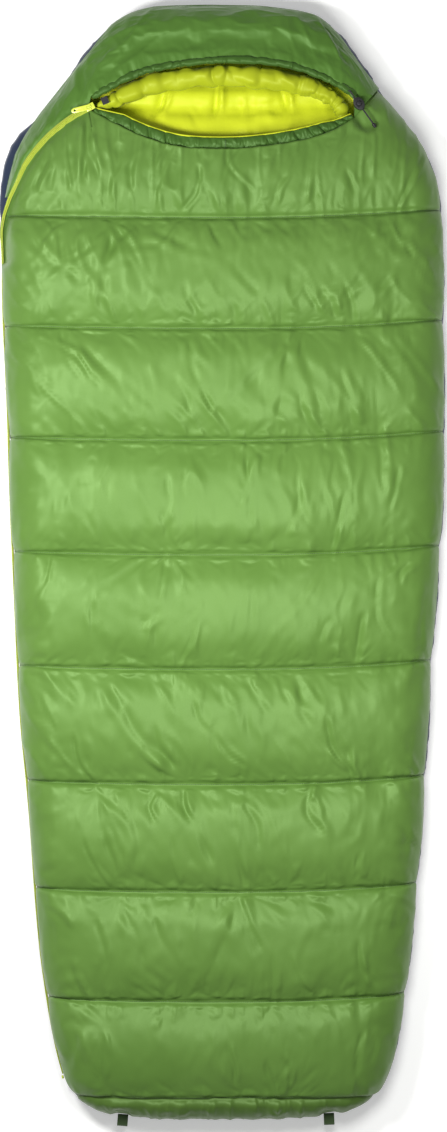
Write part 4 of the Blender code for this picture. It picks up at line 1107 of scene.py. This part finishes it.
def chest_hem():
    """Gathered band, lime piping and centre stitches along the chest edge."""
    line = resample(catmull(CHEST_EDGE, 10), np.linspace(0.02, 1.0, 330))
    line = np.column_stack([line, front_height(line)])
    s = np.arange(len(line)) * 0.0016
    share = np.linspace(0, 1, len(line))
    width = 0.0225 * np.minimum(1, 0.35 + share / 0.16) * np.minimum(1, 0.42 + (1 - share) / 0.2)
    turn = np.linspace(-0.1, math.pi + 0.1, 26)
    ss, tt = np.meshgrid(s, turn, indexing="ij")
    gather = pleats(ss + 0.006 * np.cos(tt), np.cos(tt) * 0.006, 0.018, 121)
    fine = pleats(ss, np.cos(tt) * 0.004, 0.0048, 122)
    bulge = 0.0105 - 0.0056 * gather - 0.0014 * fine + 0.0015 * noise(ss, tt * 0.01, 0.03, 123)
    across = 0.0098 + np.cos(tt) * 0.0108
    upper = np.sin(np.clip(tt, 0, math.pi)) ** 0.6 * bulge - 0.0045
    base = np.stack([np.full(len(s), 0.002), np.full(len(s), -0.026)], axis=1)[:, None]
    low = np.stack([np.full(len(s), 0.0185), np.full(len(s), -0.024)], axis=1)[:, None]
    section = np.concatenate([np.stack([across, upper], axis=2), base, low], axis=1)
    section[..., 0] *= (width / 0.02)[:, None]
    hem = sweep("chest_hem_band", upright_frames(line), section)
    finish_piece(hem, HEM_GREEN, "corner", ["chest_hem", "chest_hem_corner"])
    rim = np.stack([width + 0.0008, np.full(len(s), -0.0035)], axis=1)[:, None]
    piping = sweep("chest_lime_piping", upright_frames(line), rim + ellipse(0.0019, 0.0022, 10)[None])
    finish_piece(piping, LIME, "corner", ["chest_piping", "chest_piping_corner"])
    middle = len(line) // 2
    point = line[middle + 3]
    bar = np.array([point[:3] + (-0.0005, d, 0.0058) for d in np.linspace(0.003, 0.017, 8)])
    stitch_lines("hem_centre_stitches", [bar], 0.003, lift=0.0002)


# ---- zip ----
def zip_pieces():
    """Tapes, teeth, slider, pull, stop, black hook-and-loop tab that also stands in as painted shadow in the
    gap beside the slider, and the draft tube behind the zip.
    """
    frames = zip_frames(0.001)
    count = len(frames[0])
    s = np.arange(count) * 0.001
    wide = 0.0056 - 0.0024 * ease(s, 0.1, 0.22)
    for side, name, slot_nodes, body in ((1, "rear", ["zip_tape_rear"], "bag"),
                                         (-1, "front", ["zip_tape_front", "zip_tape_corner"], "corner")):
        ripple = 0.0004 * noise(s, s * 0, 0.012, 131 + side)
        inner, outer = np.full(count, 0.0003), 0.0008 + wide
        low, high = -0.0024 + ripple, -0.0014 + ripple
        section = np.stack([np.stack([inner, low], 1), np.stack([outer, low - 0.0006], 1),
                            np.stack([outer, high - 0.0006], 1), np.stack([inner, high + 0.0004], 1)], axis=1)
        section[..., 0] *= side
        take = slice(0, count, 3)
        tape = sweep(f"zip_tape_{name}_band", tuple(f[take] for f in frames), section[take])
        finish_piece(tape, LIME_TAPE, body, slot_nodes)
        tooth = 0.0004 * (np.sin(2 * math.pi * s / 0.003 + (0 if side > 0 else math.pi)) > 0)
        ring = ellipse(1.0, 1.0, 8)
        section = ring[None] * (0.001 + tooth)[:, None, None] + np.array((0.0012 * side, 0.0))
        coil = sweep(f"zip_coil_{name}_teeth", frames, section)
        nodes = ["zip_coil_rear"] if side > 0 else ["zip_coil_front", "zip_coil_corner"]
        finish_piece(coil, LIME_COIL, body, nodes)
    for node, name, bevel, material, slot, body in (
            ("zip_slider", "zip_slider_body", 0.0006, LIME_METAL, "lime_plastic", "zip_slider"),
            ("zip_pull", "zip_pull_tab", 0.0006, LIME_METAL, "lime_plastic", "zip_pull"),
            ("zip_stop", "zip_bottom_stop", 0.0005, LIME_METAL, "lime_plastic", "bag"),
            # Black tab: a hook-and-loop tab whose black also stands in for the shadowed gap beside the
            # slider, painted shadow.
            ("zip_garage", "zip_hook_and_loop_tab_painted_shadow", 0.0004, BLACK_CORD, "black_cord", "bag")):
        finish_piece(softened(node, name, bevel), material, body, [node])
    line = np.array([(row_ends(0.6 - 0.05 * k)[0] + 0.07, 0.6 - 0.05 * k, SEAM_HEIGHT + 0.0115)
                     for k in range(31)])
    swell = 1 + 0.08 * noise(np.arange(31) * 0.05, np.zeros(31), 0.08, 141)
    section = ellipse(0.0105, 0.0085, 16)[None] * swell[:, None, None]
    tube = sweep("lime_draft_tube", upright_frames(line), section)
    finish_piece(tube, LIME, "bag", ["draft_tube"])


# ---- drawcord and lock ----
TAIL_ROUTE = [(0.2447, 0.8908, 0.116), (0.2505, 0.8827, 0.116), (0.2563, 0.8745, 0.116),
              (0.264, 0.8637, 0.116), (0.272, 0.8524, 0.116), (0.279, 0.8426, 0.116), (0.283, 0.837, 0.116)]
CORD_TIP = (0.288, 0.8298, 0.116)
CORD_DIAMETER = 0.003


def cord_and_lock():
    """Free tail of the drawcord with its end cap, the cord in the hem, and the push-button lock."""
    curve = bpy.data.curves.new("drawcord_tail", "CURVE")
    curve.dimensions = "3D"
    spline = curve.splines.new("POLY")
    route = catmull(TAIL_ROUTE, 6)
    spline.points.add(len(route) - 1)
    for target, point in zip(spline.points, route):
        target.co = (*point, 1.0)
    curve.bevel_depth = CORD_DIAMETER / 2
    curve.bevel_resolution = 4
    curve.use_fill_caps = True
    tail = placed("drawcord_tail", curve)
    finish_piece(tail, BLACK_CORD, "bag", ["cord_tail"])
    held = resample(np.vstack([route[-2:], CORD_TIP]), np.linspace(0, 1, 25))
    shape = np.interp(np.linspace(0, 1, 25), (0, 0.15, 0.7, 1), (0.0022, 0.0036, 0.0036, 0.0022))
    shape = shape * (1 - 0.14 * (np.sin(np.linspace(0, 5 * math.pi, 25)) > 0.3))
    cap = sweep("drawcord_end_cap", upright_frames(held), shape[:, None, None] * ellipse(1.0, 0.85, 12)[None])
    end = finish_piece(cap, BLACK_PLASTIC, "bag", ["cord_end"])
    finish_piece(softened("drawcord", "hem_drawcord", 0.0), BLACK_CORD, "bag", ["drawcord"])
    finish_piece(softened("cord_lock_body", "cord_lock_barrel", 0.0012), BLACK_PLASTIC,
                 "cord_lock", ["cord_lock_body"])
    finish_piece(softened("cord_lock_button", "cord_lock_plunger", 0.0008), BLACK_PLASTIC,
                 "cord_lock_button", ["cord_lock_button"])
    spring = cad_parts["cord_lock_spring"]
    spring.data.materials.clear()
    spring.data.materials.append(STEEL)


# ---- foot loops ----
def foot_loops():
    """Two folded loops of webbing at the foot seam."""
    for name, x, lean in (("left", -0.192, -0.08), ("right", 0.2015, 0.04)):
        length, gap, thick, width, clear = 0.0225, 0.0036, 0.0014, 0.02, 0.001
        edge = LOOP[LOOP[:, 1] < -1.0]
        edge = edge[edge[:, 0].argsort()]
        root = np.array((x, np.interp(x, edge[:, 0], edge[:, 1]) - 0.0006, SEAM_HEIGHT))
        side = unit((1.0, lean, 0.0))
        out = np.array((side[1], -side[0], 0.0))
        path = [(0.0, gap), (0.4 * length, gap + 0.0012), (0.8 * length, gap + 0.0004)]
        path += [(0.8 * length + gap * math.sin(a), gap * math.cos(a)) for a in (0.7, 1.57, 2.44)]
        path += [(0.8 * length, -gap - 0.0004), (0.4 * length, -gap - 0.0012), (0.0, -gap)]
        path = catmull(path, 5) + np.array((clear, 0.0))
        points = root + out * path[:, :1] + np.array((0.0, 0.0, 1.0)) * path[:, 1:]
        ahead = unit(np.gradient(points, axis=0))
        across = np.broadcast_to(side, ahead.shape)
        section = rounded(-width / 2, width / 2, -thick / 2, thick / 2, 0.0005)
        loop = sweep(f"foot_webbing_loop_{name}", (points, across, np.cross(ahead, across)), section)
        finish_piece(loop, WEBBING, f"foot_loop_{name}", [f"foot_loop_{name}"])


# ---- build ----
front_points = front_quilt()
foot_band(front_points)
hood()
bottom()
face_roll()
hood_hem()
chest_hem()
zip_pieces()
cord_and_lock()
foot_loops()


# ---- floor, light and camera ----
def light(name, place, size, power, aim=(0.0, 0.0, 0.0)):
    """A round area light that points at `aim`."""
    lamp = bpy.data.lights.new(name, "AREA")
    lamp.shape = "DISK"
    lamp.size = size
    lamp.energy = power
    holder = placed(name, lamp)
    holder.location = place
    holder.rotation_euler = (Vector(aim) - Vector(place)).to_track_quat("-Z", "Y").to_euler()


floor = mesh_object("floor", [(-30, -30, 0), (30, -30, 0), (30, 30, 0), (-30, 30, 0)], [(0, 1, 2, 3)])
floor_material, _, floor_shader, _ = new_material("pale_floor", 0.9)
floor_shader.inputs["Base Color"].default_value = linear(244, 244, 242)
floor_shader.inputs["Emission Color"].default_value = (1.0, 1.0, 1.0, 1.0)
floor_shader.inputs["Emission Strength"].default_value = 0.3
floor.data.materials.append(floor_material)

light("key", (-0.9, 0.34, 1.7), 0.45, 34, (0.0, -0.02, 0.0))
light("overhead", (0.12, -0.04, 1.7), 0.7, 22, (0.0, -0.04, 0.0))
world = bpy.data.worlds.new("studio")
world.use_nodes = True
world.node_tree.nodes["Background"].inputs["Color"].default_value = (1.0, 1.0, 1.0, 1.0)
world.node_tree.nodes["Background"].inputs["Strength"].default_value = 0.32
scene = bpy.context.scene
scene.world = world
scene.view_settings.view_transform = "Standard"

CAMERA_HEIGHT = 7.0
BAG_TOP = 0.06
view_camera = bpy.data.cameras.new("camera")
view_camera.sensor_fit = "VERTICAL"
view_camera.sensor_height = 36.0
view_camera.lens = 36.0 * (CAMERA_HEIGHT - BAG_TOP) / 2.159
camera = placed("camera", view_camera)
camera.location = (0.0, 0.0, CAMERA_HEIGHT)
scene.camera = camera
